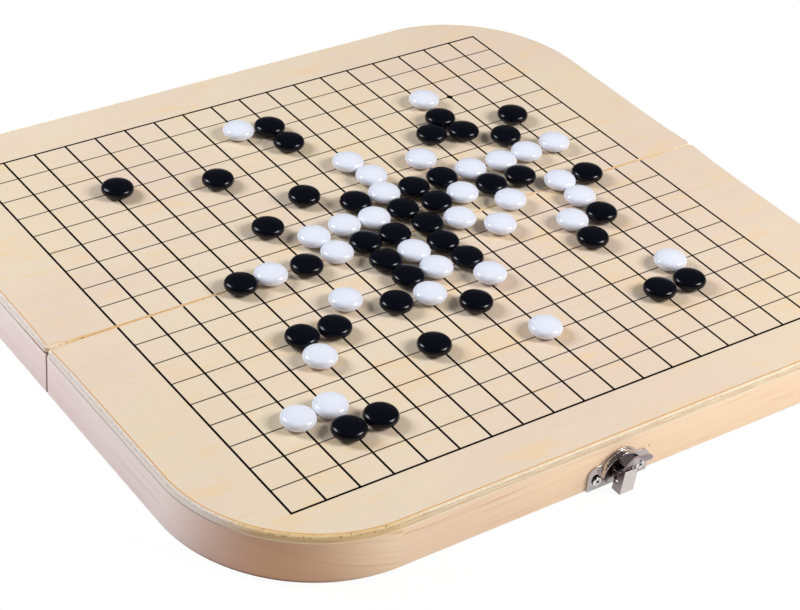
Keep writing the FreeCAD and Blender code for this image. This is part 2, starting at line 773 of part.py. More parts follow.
def make_latch_hook():
    """Box-shaped hook: leaning front, two cheeks with windows and a lip at the foot."""
    body = new_body("latch_hook")
    thick = cell("hook_thick")
    foot = -cell("hook_foot_down")
    top = (cell("hook_top_out"), cell("hook_top_up"))
    low = (cell("hook_foot_out"), foot)
    front = new_sketch(body, "YZ_Plane", -hook_x)
    polygon(front, [top, low, (low[0] - thick, foot), (top[0] - thick, top[1] - thick)])
    pad(body, front, 2 * hook_x)
    lip = new_sketch(body, "YZ_Plane", -hook_x)
    rectangle(lip, cell("hook_lip_out"), foot, low[0] - thick / 2, foot + cell("hook_lip"))
    pad(body, lip, 2 * hook_x)
    for start in (-hook_x, cell("hook_inner")):
        cheek = new_sketch(body, "YZ_Plane", start)
        shoulder = (cell("hook_back_out") + thick, cell("hook_shoulder_up"))
        polygon(cheek, [top, low, (cell("hook_back_out"), foot), shoulder])
        pad(body, cheek, thick)
        boss = new_sketch(body, "YZ_Plane", start)
        circle(boss, cell("hook_pin_out"), cell("hook_pin_up"), cell("hook_pin_boss"))
        pad(body, boss, thick)
    window = new_sketch(body, "YZ_Plane", -hook_x)
    rectangle(window, cell("window_out"), cell("window_up"),
              cell("window_out") + cell("window_width"), cell("window_up") + cell("window_height"))
    pocket(body, window, 2 * hook_x)
    bore = new_sketch(body, "YZ_Plane", -hook_x)
    circle(bore, cell("hook_pin_out"), cell("hook_pin_up"), cell("hook_pin_radius") + cell("pin_play"))
    pocket(body, bore, 2 * hook_x)
    to_front_wall(body)
    keep(body, "latch_hook")


def make_latch_pins():
    lever_half = cell("lug_inner") + cell("lug_thick")
    lever_pin = rod("latch_lever_pin", "X", cell("latch_place") - lever_half, -outer_face - cell("lever_pin_out"),
                    cell("lever_pin_up"), cell("lever_pin_radius"), 2 * lever_half)
    keep(lever_pin, "latch_lever_pin")
    hook_pin = rod("latch_hook_pin", "X", cell("latch_place") - hook_x, -outer_face - cell("hook_pin_out"),
                   cell("hook_pin_up"), cell("hook_pin_radius"), 2 * hook_x)
    keep(hook_pin, "latch_hook_pin")


# ----------------------------------------------------------------------------- strike and screws

def make_strike():
    """Plate on the back rail with a lip at the rim for the hook."""
    body = new_body("strike_plate")
    half_width = cell("strike_width") / 2
    sketch = new_sketch(body, "XZ_Plane", -(outer_face + cell("plate_thick")))
    rectangle(sketch, -half_width, 0, half_width, cell("strike_height"))
    pad(body, sketch, cell("plate_thick"))
    for sign in (-1, 1):

        def upper_corner(edge, sign=sign):
            box_of = edge.BoundBox
            return (near(box_of.XLength, 0) and near(box_of.ZLength, 0)
                    and near(box_of.XMin, sign * half_width) and near(box_of.ZMin, cell("strike_height")))

        fillet(body, cell("strike_corner"), upper_corner)
    lip = new_sketch(body, "XY_Plane")
    half_lip = cell("strike_lip_width") / 2
    rectangle(lip, -half_lip, outer_face, half_lip, outer_face + cell("strike_reach"))
    pad(body, lip, cell("strike_lip_thick"))
    holes = new_sketch(body, "XZ_Plane", -(outer_face + cell("plate_thick")))
    for sign in (-1, 1):
        circle(holes, sign * cell("strike_screw_place"), cell("strike_screw_up"),
               cell("latch_screw_radius"))
    pocket(body, holes, cell("plate_thick"))
    place(body, cell("latch_place"), 0, 0)
    keep(body, "strike_plate")


def cross_arm(name, x, z, wide, tall):
    """One slot of a screw's cross, turned about its own middle."""
    turn = cell("cross_turn")
    floor = outer_face + cell("plate_thick") + cell("latch_head_height") - cell("cross_depth")
    middle_x = wide / 2 * cosine(turn) + tall / 2 * sine(turn)
    middle_z = tall / 2 * cosine(turn) - wide / 2 * sine(turn)
    arm = box(name, x - middle_x, floor, z - middle_z, wide, cell("cross_depth"), tall)
    arm.Placement.Rotation = FreeCAD.Rotation(FreeCAD.Vector(0, 1, 0), turn.value)
    bind(arm, "Placement.Rotation.Angle", turn)
    return arm


def make_plate_screws(name, turn, screw_place, screw_up):
    """Two cross-head screws through a plate on an outer face."""
    screws = []
    for sign in (-1, 1):
        label = "%s_%s" % (name, side_name(sign, turn))
        x = plate_centre(turn) + sign * screw_place
        shank = rod(label + "_shank", "Y", x, outer_face - cell("latch_screw_length"), screw_up,
                    cell("latch_screw_radius"), cell("latch_screw_length") + cell("plate_thick"))
        head = rod(label + "_head", "Y", x, outer_face + cell("plate_thick"), screw_up,
                   cell("latch_head_radius"), cell("latch_head_height"))
        rounded = doc.addObject("Part::Fillet", label + "_dome")
        rounded.Base = head
        doc.recompute()
        rounded.Edges = [
            (i, SIZES["latch_head_height"] / 2, SIZES["latch_head_height"] / 2)
            for i, edge in enumerate(head.Shape.Edges, start=1)
            if near(edge.BoundBox.YMin, outer_face + cell("plate_thick") + cell("latch_head_height"))
        ]
        screws += [shank, rounded]
    solid = fuse(name + "_solid", screws)
    tools = []
    for sign in (-1, 1):
        label = "%s_cross_%s" % (name, side_name(sign, turn))
        x = plate_centre(turn) + sign * screw_place
        tools.append(cross_arm(label + "_1", x, screw_up, cell("cross_length"), cell("cross_width")))
        tools.append(cross_arm(label + "_2", x, screw_up, cell("cross_width"), cell("cross_length")))
    group = cut(name, solid, tools)
    place(group, 0, 0, 0, turn)
    keep(group, name)


# ----------------------------------------------------------------------------- stones

def stone_solid():
    """Lens with spherical faces and a rounded edge that meets them smoothly, standing on z = 0."""
    radius = sheet.stone_diameter / 2
    half = sheet.stone_height / 2
    edge = sheet.stone_edge
    arm = radius - edge
    # sphere radius for which face and edge arc are tangent: (face - edge)^2 = arm^2 + (face - half)^2
    face = (arm ** 2 + half ** 2 - edge ** 2) / (2 * (half - edge))
    sunk = face - half
    lean = math.atan2(arm, sunk)
    join_x = face * math.sin(lean)
    join_z = face * math.cos(lean) - sunk
    mid_x = face * math.sin(lean / 2)
    mid_z = face * math.cos(lean / 2) - sunk

    def point(x, z):
        return FreeCAD.Vector(x, 0, z + half)

    outline = Part.Wire([
        Part.LineSegment(point(0, -half), point(0, half)).toShape(),
        Part.Arc(point(0, half), point(mid_x, mid_z), point(join_x, join_z)).toShape(),
        Part.Arc(point(join_x, join_z), point(radius, 0), point(join_x, -join_z)).toShape(),
        Part.Arc(point(join_x, -join_z), point(mid_x, -mid_z), point(0, -half)).toShape(),
    ])
    return Part.Face(outline).revolve(FreeCAD.Vector(0, 0, 0), FreeCAD.Vector(0, 0, 1), 360)


def make_stones(label, places):
    """Stones of one colour on one half, each at its own place on the grid."""
    stone = stone_solid()
    height = panel_top.value + sheet.stone_clearance
    solids = []
    for column, row in places:
        x = (column - MIDDLE_LINE) * sheet.column_pitch
        y = (MIDDLE_LINE - row) * sheet.row_pitch
        solids.append(stone.translated(FreeCAD.Vector(x, y, 0)))
    group = doc.addObject("Part::Feature", label)
    group.Shape = Part.makeCompound(solids)
    place(group, 0, 0, height)
    keep(group, label)


# ----------------------------------------------------------------------------- assembly

SCREW_ROWS = {
    "front": (cell("latch_screw_place"), cell("latch_screw_up")),
    "back": (cell("strike_screw_place"), cell("strike_screw_up")),
}

for half_name, half_turn in HALVES.items():
    make_panel(half_name, half_turn)
    make_outer_rail(half_name, half_turn, *SCREW_ROWS[half_name])
    for side_sign in (-1, 1):
        make_side_rail(half_name, half_turn, side_sign)
        make_corner(half_name, half_turn, side_sign)
    make_fold_rail(half_name, half_turn)
    make_hinge_screws(half_name, half_turn)

for hinge_side, hinge_x in zip(("left", "right"), hinge_centres()):
    make_hinge(hinge_side, hinge_x)

make_latch_plate()
make_latch_lever()
make_latch_hook()
make_latch_pins()
make_plate_screws("latch_screws", HALVES["front"], *SCREW_ROWS["front"])
make_strike()
make_plate_screws("strike_screws", HALVES["back"], *SCREW_ROWS["back"])

make_stones("front_black_stones", BLACK_FRONT)
make_stones("front_white_stones", WHITE_FRONT)
make_stones("back_black_stones", BLACK_BACK)
make_stones("back_white_stones", WHITE_BACK)

doc.recompute()

# ----------------------------------------------------------------------------- checks and files

for thing in doc.Objects:
    if "Invalid" in thing.State or "Error" in thing.State:
        raise RuntimeError("%s failed: %s" % (thing.Name, thing.State))

os.makedirs("parts", exist_ok=True)
for node in nodes:
    if node.Shape.isNull() or not node.Shape.isValid():
        raise RuntimeError("%s has no valid shape" % node.Label)
    node.Shape.exportStep("parts/%s.step" % node.Label)
    print("%-26s solids %3d  volume %10.1f" % (node.Label, len(node.Shape.Solids), node.Shape.Volume))
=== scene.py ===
import math

import bmesh
import bpy
import numpy as np
from mathutils import Matrix, Vector


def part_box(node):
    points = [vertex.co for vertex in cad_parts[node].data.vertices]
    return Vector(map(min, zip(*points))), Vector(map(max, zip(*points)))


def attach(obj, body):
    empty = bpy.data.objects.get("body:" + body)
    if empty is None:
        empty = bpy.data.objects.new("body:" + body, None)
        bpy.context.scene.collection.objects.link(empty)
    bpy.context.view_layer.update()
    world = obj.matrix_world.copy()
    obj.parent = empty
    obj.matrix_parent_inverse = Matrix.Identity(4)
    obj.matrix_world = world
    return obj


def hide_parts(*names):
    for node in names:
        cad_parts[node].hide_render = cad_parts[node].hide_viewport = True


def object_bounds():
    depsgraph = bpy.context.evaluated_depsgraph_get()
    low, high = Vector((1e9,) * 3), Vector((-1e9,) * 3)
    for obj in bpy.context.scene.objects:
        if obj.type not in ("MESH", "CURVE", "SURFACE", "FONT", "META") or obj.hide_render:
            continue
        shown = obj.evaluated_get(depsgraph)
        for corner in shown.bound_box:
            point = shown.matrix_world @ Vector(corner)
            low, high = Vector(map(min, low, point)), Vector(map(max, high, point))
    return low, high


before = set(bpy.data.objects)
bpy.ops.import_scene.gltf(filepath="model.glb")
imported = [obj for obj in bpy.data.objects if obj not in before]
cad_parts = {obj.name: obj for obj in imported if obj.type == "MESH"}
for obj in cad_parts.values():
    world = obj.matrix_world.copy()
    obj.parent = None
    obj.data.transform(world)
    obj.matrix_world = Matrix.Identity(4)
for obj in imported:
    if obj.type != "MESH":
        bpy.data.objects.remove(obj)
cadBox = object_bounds()
print("frame loaded:", len(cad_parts), "parts")

mm = 0.001
pi = math.pi
weldGap = 1e-6          # points nearer than this are merged
grainMap = "grainMap"   # name of the uv map that the wood follows


def partBox(node):
    low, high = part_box(node)
    return np.array(low), np.array(high)


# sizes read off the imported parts
panelLow, panelHigh = partBox("back_panel")
railLow, railHigh = partBox("back_rail")

halfLength = panelHigh[0]
foldEdge = panelLow[1]              # half the gap between the two panels
outerFace = panelHigh[1]
panelBottom = panelLow[2]
panelTop = panelHigh[2]
railEnd = railHigh[0]               # where the long rail meets the curved corner
cornerRadius = halfLength - railEnd
cornerCentreY = outerFace - cornerRadius
wallThick = railHigh[1] - railLow[1]

halfTurn = {"back": 1, "front": -1}     # both halves are drawn as the back one; -1 turns it round


def gridCells(rows, columns, closed):
    # row i and column j of every cell; a closed grid has a last column of cells back to its first points
    return np.meshgrid(np.arange(rows - 1), np.arange(columns if closed else columns - 1), indexing="ij")


def gridQuads(rows, columns, closed=True):
    # quad (i, j) joins grid points (i, j), (i+1, j), (i+1, j+1), (i, j+1); after the last column comes
    # the first
    i, j = gridCells(rows, columns, closed)
    nextJ = (j + 1) % columns
    corners = [(i, j), (i + 1, j), (i + 1, nextJ), (i, nextJ)]
    return np.stack([a * columns + b for a, b in corners], axis=-1).reshape(-1, 4)


def cornerUv(u, v):
    # uv of every quad corner of a closed grid, in the order of gridQuads; u and v have one column more
    # than the grid, for the end of the way round
    i, j = gridCells(u.shape[0], u.shape[1] - 1, True)
    corners = [(i, j), (i + 1, j), (i + 1, j + 1), (i, j + 1)]
    return np.stack([np.stack([u[a, b], v[a, b]], -1) for a, b in corners], axis=2).reshape(-1, 2)


def linked(name, data):
    thing = bpy.data.objects.new(name, data)
    bpy.context.scene.collection.objects.link(thing)
    return thing


def cleaned(mesh, flatAngle=None):
    # doubles merged and faces turned outwards; edges flatter than flatAngle dissolved, where it is given,
    # and otherwise only faces without an area
    soft = bmesh.new()
    soft.from_mesh(mesh)
    bmesh.ops.remove_doubles(soft, verts=soft.verts, dist=weldGap)
    if flatAngle is None:
        bmesh.ops.dissolve_degenerate(soft, edges=soft.edges, dist=weldGap)
    else:
        bmesh.ops.dissolve_limit(soft, angle_limit=flatAngle, verts=soft.verts, edges=soft.edges)
    bmesh.ops.recalc_face_normals(soft, faces=soft.faces)
    soft.to_mesh(mesh)
    soft.free()
    mesh.shade_smooth()


def makePiece(name, points, quads, uv=None, sharpAngle=32):
    # one mesh object at the origin, cleaned, and smooth except at edges over sharpAngle degrees
    mesh = bpy.data.meshes.new(name)
    mesh.from_pydata(points.reshape(-1, 3).tolist(), [], quads.tolist())
    if uv is not None:
        layer = mesh.uv_layers.new(name=grainMap)
        layer.data.foreach_set("uv", uv.astype(np.float32).ravel())
    cleaned(mesh)
    mesh.set_sharp_from_angle(angle=math.radians(sharpAngle))
    return linked(name, mesh)


def dress(piece, material, body, slotName, *nodes):
    piece.data.materials.clear()
    piece.data.materials.append(material)
    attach(piece, body)
    if nodes:
        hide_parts(*nodes)
    return piece


def newMaterial(name):
    material = bpy.data.materials.new(name)
    material.use_nodes = True
    tree = material.node_tree
    return material, tree, tree.nodes["Principled BSDF"]


def addNode(tree, kind, **settings):
    node = tree.nodes.new(kind)
    for key, value in settings.items():
        setattr(node, key, value)
    return node


def plug(tree, source, socket):
    # a number or colour is set on the socket, anything else is linked to it
    if isinstance(source, (int, float)):
        socket.default_value = source
    elif isinstance(source, (tuple, list)):
        socket.default_value = tuple(source)
    else:
        tree.links.new(source, socket)


def sums(tree, operation, *values, clamp=False):
    node = addNode(tree, "ShaderNodeMath", operation=operation, use_clamp=clamp)
    for value, socket in zip(values, node.inputs):
        plug(tree, value, socket)
    return node.outputs[0]


def times(tree, first, *others):
    # the product of all
    for other in others:
        first = sums(tree, "MULTIPLY", first, other)
    return first


def gapTo(tree, value, centre):
    # how far a value lies from the centre, to either side
    return sums(tree, "ABSOLUTE", sums(tree, "SUBTRACT", value, centre))


def reachOf(tree, x, y):
    # the square root of x^2 + y^2
    return sums(tree, "SQRT", sums(tree, "ADD", times(tree, x, x), times(tree, y, y)))


def ramp(tree, value, low, high, outLow=0.0, outHigh=1.0):
    # smooth step from outLow at low to outHigh at high
    node = addNode(tree, "ShaderNodeMapRange", interpolation_type="SMOOTHSTEP")
    for number, socket in zip((value, low, high, outLow, outHigh), node.inputs):
        plug(tree, number, socket)
    return node.outputs[0]


def objectPlace(tree):
    return addNode(tree, "ShaderNodeTexCoord").outputs["Object"]


def grainUv(tree):
    return addNode(tree, "ShaderNodeUVMap", uv_map=grainMap).outputs[0]


def splitVector(tree, vector):
    node = addNode(tree, "ShaderNodeSeparateXYZ")
    plug(tree, vector, node.inputs[0])
    return node.outputs


def joinVector(tree, *values):
    node = addNode(tree, "ShaderNodeCombineXYZ")
    for value, socket in zip(values, node.inputs):
        plug(tree, value, socket)
    return node.outputs[0]


def stretched(tree, vector, scales, shift=(0.0, 0.0, 0.0)):
    node = addNode(tree, "ShaderNodeMapping")
    plug(tree, vector, node.inputs["Vector"])
    plug(tree, scales, node.inputs["Scale"])
    plug(tree, shift, node.inputs["Location"])
    return node.outputs["Vector"]


def noise(tree, vector, scale, detail=2.0, roughness=0.5, distortion=0.0):
    node = addNode(tree, "ShaderNodeTexNoise")
    settings = {"Vector": vector, "Scale": scale, "Detail": detail, "Roughness": roughness,
                "Distortion": distortion}
    for key, value in settings.items():
        plug(tree, value, node.inputs[key])
    return node.outputs["Fac"]


def blendColour(tree, factor, first, second):
    # inputs 6 and 7 and output 2 are the colour sockets of the node
    node = addNode(tree, "ShaderNodeMix", data_type="RGBA")
    plug(tree, factor, node.inputs[0])
    plug(tree, first, node.inputs[6])
    plug(tree, second, node.inputs[7])
    return node.outputs[2]


def colour(red, green, blue):
    # display colour 0-255 to the linear numbers of a socket
    parts = np.array([red, green, blue]) / 255.0
    linear = np.where(parts <= 0.04045, parts / 12.92, ((parts + 0.055) / 1.055) ** 2.4)
    return (*linear.tolist(), 1.0)


def newGroup(name, inputs, outputs):
    # inputs are named start values, None for a vector; outputs are names, all of them masks
    group = bpy.data.node_groups.new(name, "ShaderNodeTree")
    for label, value in inputs.items():
        kind = "NodeSocketVector" if value is None else "NodeSocketFloat"
        socket = group.interface.new_socket(label, in_out="INPUT", socket_type=kind)
        if value is not None:
            socket.default_value = value
    for label in outputs:
        group.interface.new_socket(label, in_out="OUTPUT", socket_type="NodeSocketFloat")
    return group, group.nodes.new("NodeGroupInput").outputs, group.nodes.new("NodeGroupOutput").inputs


def useGroup(tree, group, **values):
    node = addNode(tree, "ShaderNodeGroup", node_tree=group)
    for key, value in values.items():
        plug(tree, value, node.inputs[key])
    return node.outputs


# wood grain, shared by plywood and pine; here and below, the numbers of a step are where it starts and
# ends and, unless they are 0 and 1, its values there
grainShape = {
    "waverScale": 6.0,              # slow bend of the lines
    "waverDepth": 20.0 * mm,
    "streakDetail": 3.0,
    "streakRoughness": 0.6,
    "blotchStretch": (0.6, 1.3, 1.0),
    "poreStretch": (0.12, 1.0, 1.0),
    "poreRoughness": 0.4,
    "poreStep": (0.70, 0.78),
    "bumpDepth": 0.1 * mm,
}


def grainGroup():
    # Streaks: noise on a vector pressed together across the grain, so its blobs become long lines
    # Blotches: broad soft noise, longer along the grain
    # Flecks: short dark pores, where a fine stretched noise passes a threshold
    group, given, out = newGroup(
        "woodGrain",
        {"Vector": None, "Line Scale": 300.0, "Run Scale": 5.0, "Blotch Scale": 14.0,
         "Fleck Scale": 900.0},
        ["Streaks", "Blotches", "Flecks"],
    )
    x, y, z = splitVector(group, given["Vector"])
    bend = noise(group, given["Vector"], grainShape["waverScale"], detail=1.0)
    bend = sums(group, "SUBTRACT", bend, 0.5)       # a noise lies about 0.5
    across = sums(group, "ADD", y, times(group, bend, grainShape["waverDepth"]))
    lines = joinVector(
        group,
        times(group, x, given["Run Scale"]),
        times(group, across, given["Line Scale"]),
        times(group, z, given["Line Scale"]),
    )
    streaks = noise(group, lines, 1.0, grainShape["streakDetail"], grainShape["streakRoughness"])
    plug(group, streaks, out["Streaks"])
    broad = stretched(group, given["Vector"], grainShape["blotchStretch"])
    plug(group, noise(group, broad, given["Blotch Scale"]), out["Blotches"])
    short = stretched(group, given["Vector"], grainShape["poreStretch"])
    pores = noise(group, short, given["Fleck Scale"], detail=1.0, roughness=grainShape["poreRoughness"])
    plug(group, ramp(group, pores, *grainShape["poreStep"]), out["Flecks"])
    return group


markFade = 1.33     # where a small mark has faded out, in radii


def markGroup():
    # Mark: 1 within Radius of the point (X, Y, Z), fading over a third of the radius
    group, given, out = newGroup(
        "smallMark", {"Vector": None, "X": 0.0, "Y": 0.0, "Z": 0.0, "Radius": 1.0 * mm}, ["Mark"])
    gap = addNode(group, "ShaderNodeVectorMath", operation="DISTANCE")
    plug(group, given["Vector"], gap.inputs[0])
    plug(group, joinVector(group, given["X"], given["Y"], given["Z"]), gap.inputs[1])
    faded = times(group, given["Radius"], markFade)
    plug(group, ramp(group, gap.outputs["Value"], given["Radius"], faded, 1.0, 0.0), out["Mark"])
    return group


# printed grid, with its middle at the origin
grid = {
    "columnPitch": 24.0 * mm,
    "rowPitch": 23.0 * mm,
    "reach": 9,                     # lines on each side of the middle one
    "columnWidth": 1.65 * mm,
    "rowWidth": 1.05 * mm,
    "softEdge": 0.10 * mm,
    "bareSeam": 1.25 * mm,          # no ink this near the fold
    "starPlace": 6,                 # lines from the middle to a star point
    "starRadius": 2.3 * mm,
}


def printedGridGroup():
    # distance from x to the nearest multiple of the pitch gives the columns, and from y the rows;
    # each line is a smooth step of that distance, kept inside the outer lines and off the fold;
    # Strong holds columns, border and star points, and Fine the rows
    group, given, out = newGroup("printedGrid", {"Vector": None}, ["Strong", "Fine"])
    x, y = splitVector(group, given["Vector"])[:2]
    soft = grid["softEdge"]

    def nearestLine(place, pitch):
        cells = sums(group, "DIVIDE", place, pitch)
        return times(group, gapTo(group, cells, sums(group, "ROUND", cells)), pitch)

    def within(distance, limit):
        return ramp(group, distance, limit - soft, limit + soft, 1.0, 0.0)

    def beyond(distance, limit):
        return ramp(group, distance, limit - soft, limit + soft)

    sizeX = sums(group, "ABSOLUTE", x)
    sizeY = sums(group, "ABSOLUTE", y)
    halfInk = grid["columnWidth"] / 2
    inside = times(
        group,
        within(sizeX, grid["reach"] * grid["columnPitch"] + halfInk),
        within(sizeY, grid["reach"] * grid["rowPitch"] + halfInk),
        beyond(sizeY, grid["bareSeam"]),
    )
    columns = within(nearestLine(x, grid["columnPitch"]), halfInk)
    rowGap = nearestLine(y, grid["rowPitch"])
    outerRow = beyond(sizeY, (grid["reach"] - 0.5) * grid["rowPitch"])
    border = times(group, within(rowGap, halfInk), outerRow)
    starX = sums(group, "SUBTRACT", sizeX, grid["starPlace"] * grid["columnPitch"])
    starY = sums(group, "SUBTRACT", sizeY, grid["starPlace"] * grid["rowPitch"])
    star = within(reachOf(group, starX, starY), grid["starRadius"])
    strong = sums(group, "MAXIMUM", sums(group, "MAXIMUM", columns, border), star)
    plug(group, times(group, strong, inside), out["Strong"])
    rows = times(group, within(rowGap, grid["rowWidth"] / 2), beyond(sizeY, grid["rowPitch"] / 2))
    plug(group, times(group, rows, inside), out["Fine"])
    return group


woodGrain = grainGroup()
smallMark = markGroup()
printedGrid = printedGridGroup()
print("shared shader groups built")


def finishWood(tree, shader, base, streaks, finish):
    # colour, and a roughness and faint bump that follow the grain
    plug(tree, base, shader.inputs["Base Color"])
    plug(tree, ramp(tree, streaks, *finish["roughnessStep"]), shader.inputs["Roughness"])
    bump = addNode(tree, "ShaderNodeBump")
    plug(tree, finish["bump"], bump.inputs["Strength"])
    plug(tree, grainShape["bumpDepth"], bump.inputs["Distance"])
    plug(tree, streaks, bump.inputs["Height"])
    plug(tree, bump.outputs[0], shader.inputs["Normal"])


# plywood panel, one for each half
panel = {
    "roundOver": 3.0 * mm,          # upper outer edge
    "seamRound": 0.35 * mm,         # upper edge along the fold
    "seamEndRound": 2.0 * mm,       # the same edge where it reaches the left corner
    "seamFade": 22.0 * mm,          # how far the larger rounding runs in along the fold
    "seamCorner": 3.4 * mm,         # plan radius at the fold
    "sideFade": 15.0 * mm,          # how far the rounding takes to grow to the full one along the side
    "seamCornerSteps": 14,
    "cornerSteps": 60,
    "straightSteps": (8, 16, 8, 96),    # side, outer edge, side and fold
    "roundSteps": 10,
    "spineShare": 0.55,             # of half the length: the line in the middle that the rings end at
    "underShares": (0.5, 0.05),     # rings of the underside, by their share of the way in
    "topShares": (0.003, 0.01, 0.04, 0.2, 0.6, 1.0),    # and of the flat top
    "underRun": 0.1,                # added to the run from the lower edge to the underside's middle
    "cream": colour(227, 210, 187),
    "rose": colour(225, 205, 186),
    "honey": colour(227, 210, 182),
    "warmSpot": colour(231, 204, 167),
    "streak": colour(212, 188, 158),
    "ink": colour(5, 3, 6),
    "fineInk": colour(38, 28, 32),
    "grain": {"Line Scale": 260.0, "Run Scale": 7.0, "Blotch Scale": 13.0, "Fleck Scale": 700.0},
    "roseStep": (0.38, 0.66),
    "honeyScale": 5.0,
    "honeyStretch": (1.0, 1.6, 1.0),
    "honeyShift": (3.1, 0.7, 0.0),
    "honeyStep": (0.50, 0.72, 0.0, 0.65),
    "spotScale": 42.0,
    "spotStretch": (0.55, 1.4, 1.0),
    "spotShift": (0.2, 1.9, 0.0),
    "spotStep": (0.50, 0.70, 0.0, 0.75),
    "streakStep": (0.52, 0.80, 0.0, 0.30),
    "poreShare": 0.20,
    "fineInkShare": 0.92,
    "roughnessStep": (0.3, 0.7, 0.58, 0.70),
    "glossStep": (0.0, 1.0, 0.22, 0.04),    # from bare wood to ink
    "bump": 0.12,
}

# cut edge of the plywood; its heights are measured up from the panel's underside, the foot, and its runs
# down from the arris
plyEdge = {
    "cream": colour(247, 232, 204),
    "core": colour(216, 190, 160),
    "line": colour(160, 132, 112),
    "goldCream": colour(240, 211, 158),
    "goldCore": colour(212, 174, 130),
    "paleCream": colour(236, 224, 214),
    "paleCore": colour(230, 216, 206),
    "paleLine": colour(140, 128, 132),
    "arris": colour(206, 145, 66),
    "glueAndFootHighlight": colour(252, 240, 224),  # dried glue squeezed out at the foot, painted bright as a highlight along the joint
    "stain": colour(118, 50, 44),       # at the foot by the left end of the fold
    "tornFibre": colour(150, 104, 50),
    "smearScale": (45.0, 900.0),        # along the edge and down it
    "tornScale": (420.0, 500.0),
    "noiseRoughness": 0.6,
    "paleEnds": (0.91 * halfLength, 0.985 * halfLength),    # pale left and right walls, not by the fold
    "paleOffFold": (1.5 * mm, 5.0 * mm),
    "goldStart": (0.52 * halfLength, 0.68 * halfLength),    # gold where the long walls near the corners
    "goldEnd": (0.98 * halfLength, 0.90 * halfLength),
    "smearedCore": (0.50, 0.68, 0.0, 0.6),
    "coreRun": (2.3 * mm, 2.7 * mm),
    "coreFoot": (0.55 * mm, 0.85 * mm),
    "coreStep": (0.30, 0.60, 0.35, 0.9),
    "wander": 0.35 * mm,                # how much the glue lines waver
    "fibreStep": (0.30, 0.62, 0.35, 1.0),
    "glueLines": (                      # run, half width, strength
        (1.20 * mm, 0.14 * mm, 0.45),
        (2.45 * mm, 0.16 * mm, 0.55),
    ),
    "glueFade": 2.2,                    # where a glue line has faded out, in half widths
    "footLine": (0.85 * mm, 0.45 * mm, 0.0, 0.95),
    "footLineOnPale": (0.0, 1.0, 0.20, 1.0),
    "glueAndHighlightStep": (0.60 * mm, 0.35 * mm),
    "glueAndHighlightOffPale": (0.0, 0.6, 0.75, 0.0),
    "stainBack": (60.0 * mm, 8.0 * mm),
    "stainFront": (-1.0 * mm, 1.0 * mm),
    "stainLeft": (-0.9 * halfLength, -0.95 * halfLength),
    "stainFoot": (1.25 * mm, 0.85 * mm),
    "tornStep": (0.58, 0.66),
    "tornFrom": (0.5 * mm, 1.0 * mm),
    "tornTo": (3.4 * mm, 2.8 * mm),
    "tornPlain": 0.12,                  # share of torn fibres off the gold, and what the gold adds
    "tornOnGold": 0.65,
    "edgeStart": (-0.05 * mm, 0.25 * mm),
    "arrisRun": 0.05 * mm,
    "arrisHalf": 0.18 * mm,
    "arrisReach": (3.0 * mm, 6.0 * mm, 0.30 * mm, 0.60 * mm),   # faded out: narrower by the fold
    "farRight": (0.70 * halfLength, 0.90 * halfLength),         # towards the right and the back
    "farBack": (0.55 * outerFace, 0.90 * outerFace),
    "arrisFar": (0.0, 1.0, 0.95, 0.12),                         # the arris is weaker
}


def halfOutline():
    # the half seen from above, anticlockwise from the fold's right end: four corner arcs,
    # centre + radius * (cos a, sin a), with the straight edges between them divided evenly
    small, large = panel["seamCorner"], cornerRadius
    smallSteps, largeSteps = panel["seamCornerSteps"], panel["cornerSteps"]
    corners = [             # centre x and y, radius, first angle, steps
        (halfLength - small, foldEdge + small, small, -90, smallSteps),
        (halfLength - large, outerFace - large, large, 0, largeSteps),
        (large - halfLength, outerFace - large, large, 90, largeSteps),
        (small - halfLength, foldEdge + small, small, 180, smallSteps),
    ]
    points, normals = [], []
    for x, y, radius, start, steps in corners:
        angle = np.radians(start + np.linspace(0, 90, steps + 1))
        normal = np.stack([np.cos(angle), np.sin(angle)], 1)
        points.append(np.array([x, y]) + radius * normal)
        normals.append(normal)
    pathPoints, pathNormals = [], []
    for index, steps in enumerate(panel["straightSteps"]):
        pathPoints.append(points[index])
        pathNormals.append(normals[index])
        start, end = points[index][-1], points[(index + 1) % 4][0]
        share = np.linspace(0, 1, steps + 1)[1:-1, None]
        pathPoints.append(start + (end - start) * share)
        pathNormals.append(np.repeat(normals[index][-1:], steps - 1, 0))
    return np.concatenate(pathPoints), np.concatenate(pathNormals)


def edgeRadius(outline, turn):
    # the rounding at each point of the outline: along the fold it falls from the small corner's by
    # exp(-distance / fade), and up the side it grows to the full one by 1 - exp(-distance / fade)
    fromEnd = np.maximum(0, halfLength - panel["seamCorner"] - np.abs(outline[:, 0]))
    upSide = np.maximum(0, outline[:, 1] - foldEdge - panel["seamCorner"])
    endRound = np.where(outline[:, 0] * turn < 0, panel["seamEndRound"], panel["seamRound"])
    onFold = panel["seamRound"] + (endRound - panel["seamRound"]) * np.exp(-fromEnd / panel["seamFade"])
    onSide = panel["roundOver"] - (panel["roundOver"] - endRound) * np.exp(-upSide / panel["sideFade"])
    return np.where(upSide == 0, onFold, onSide)


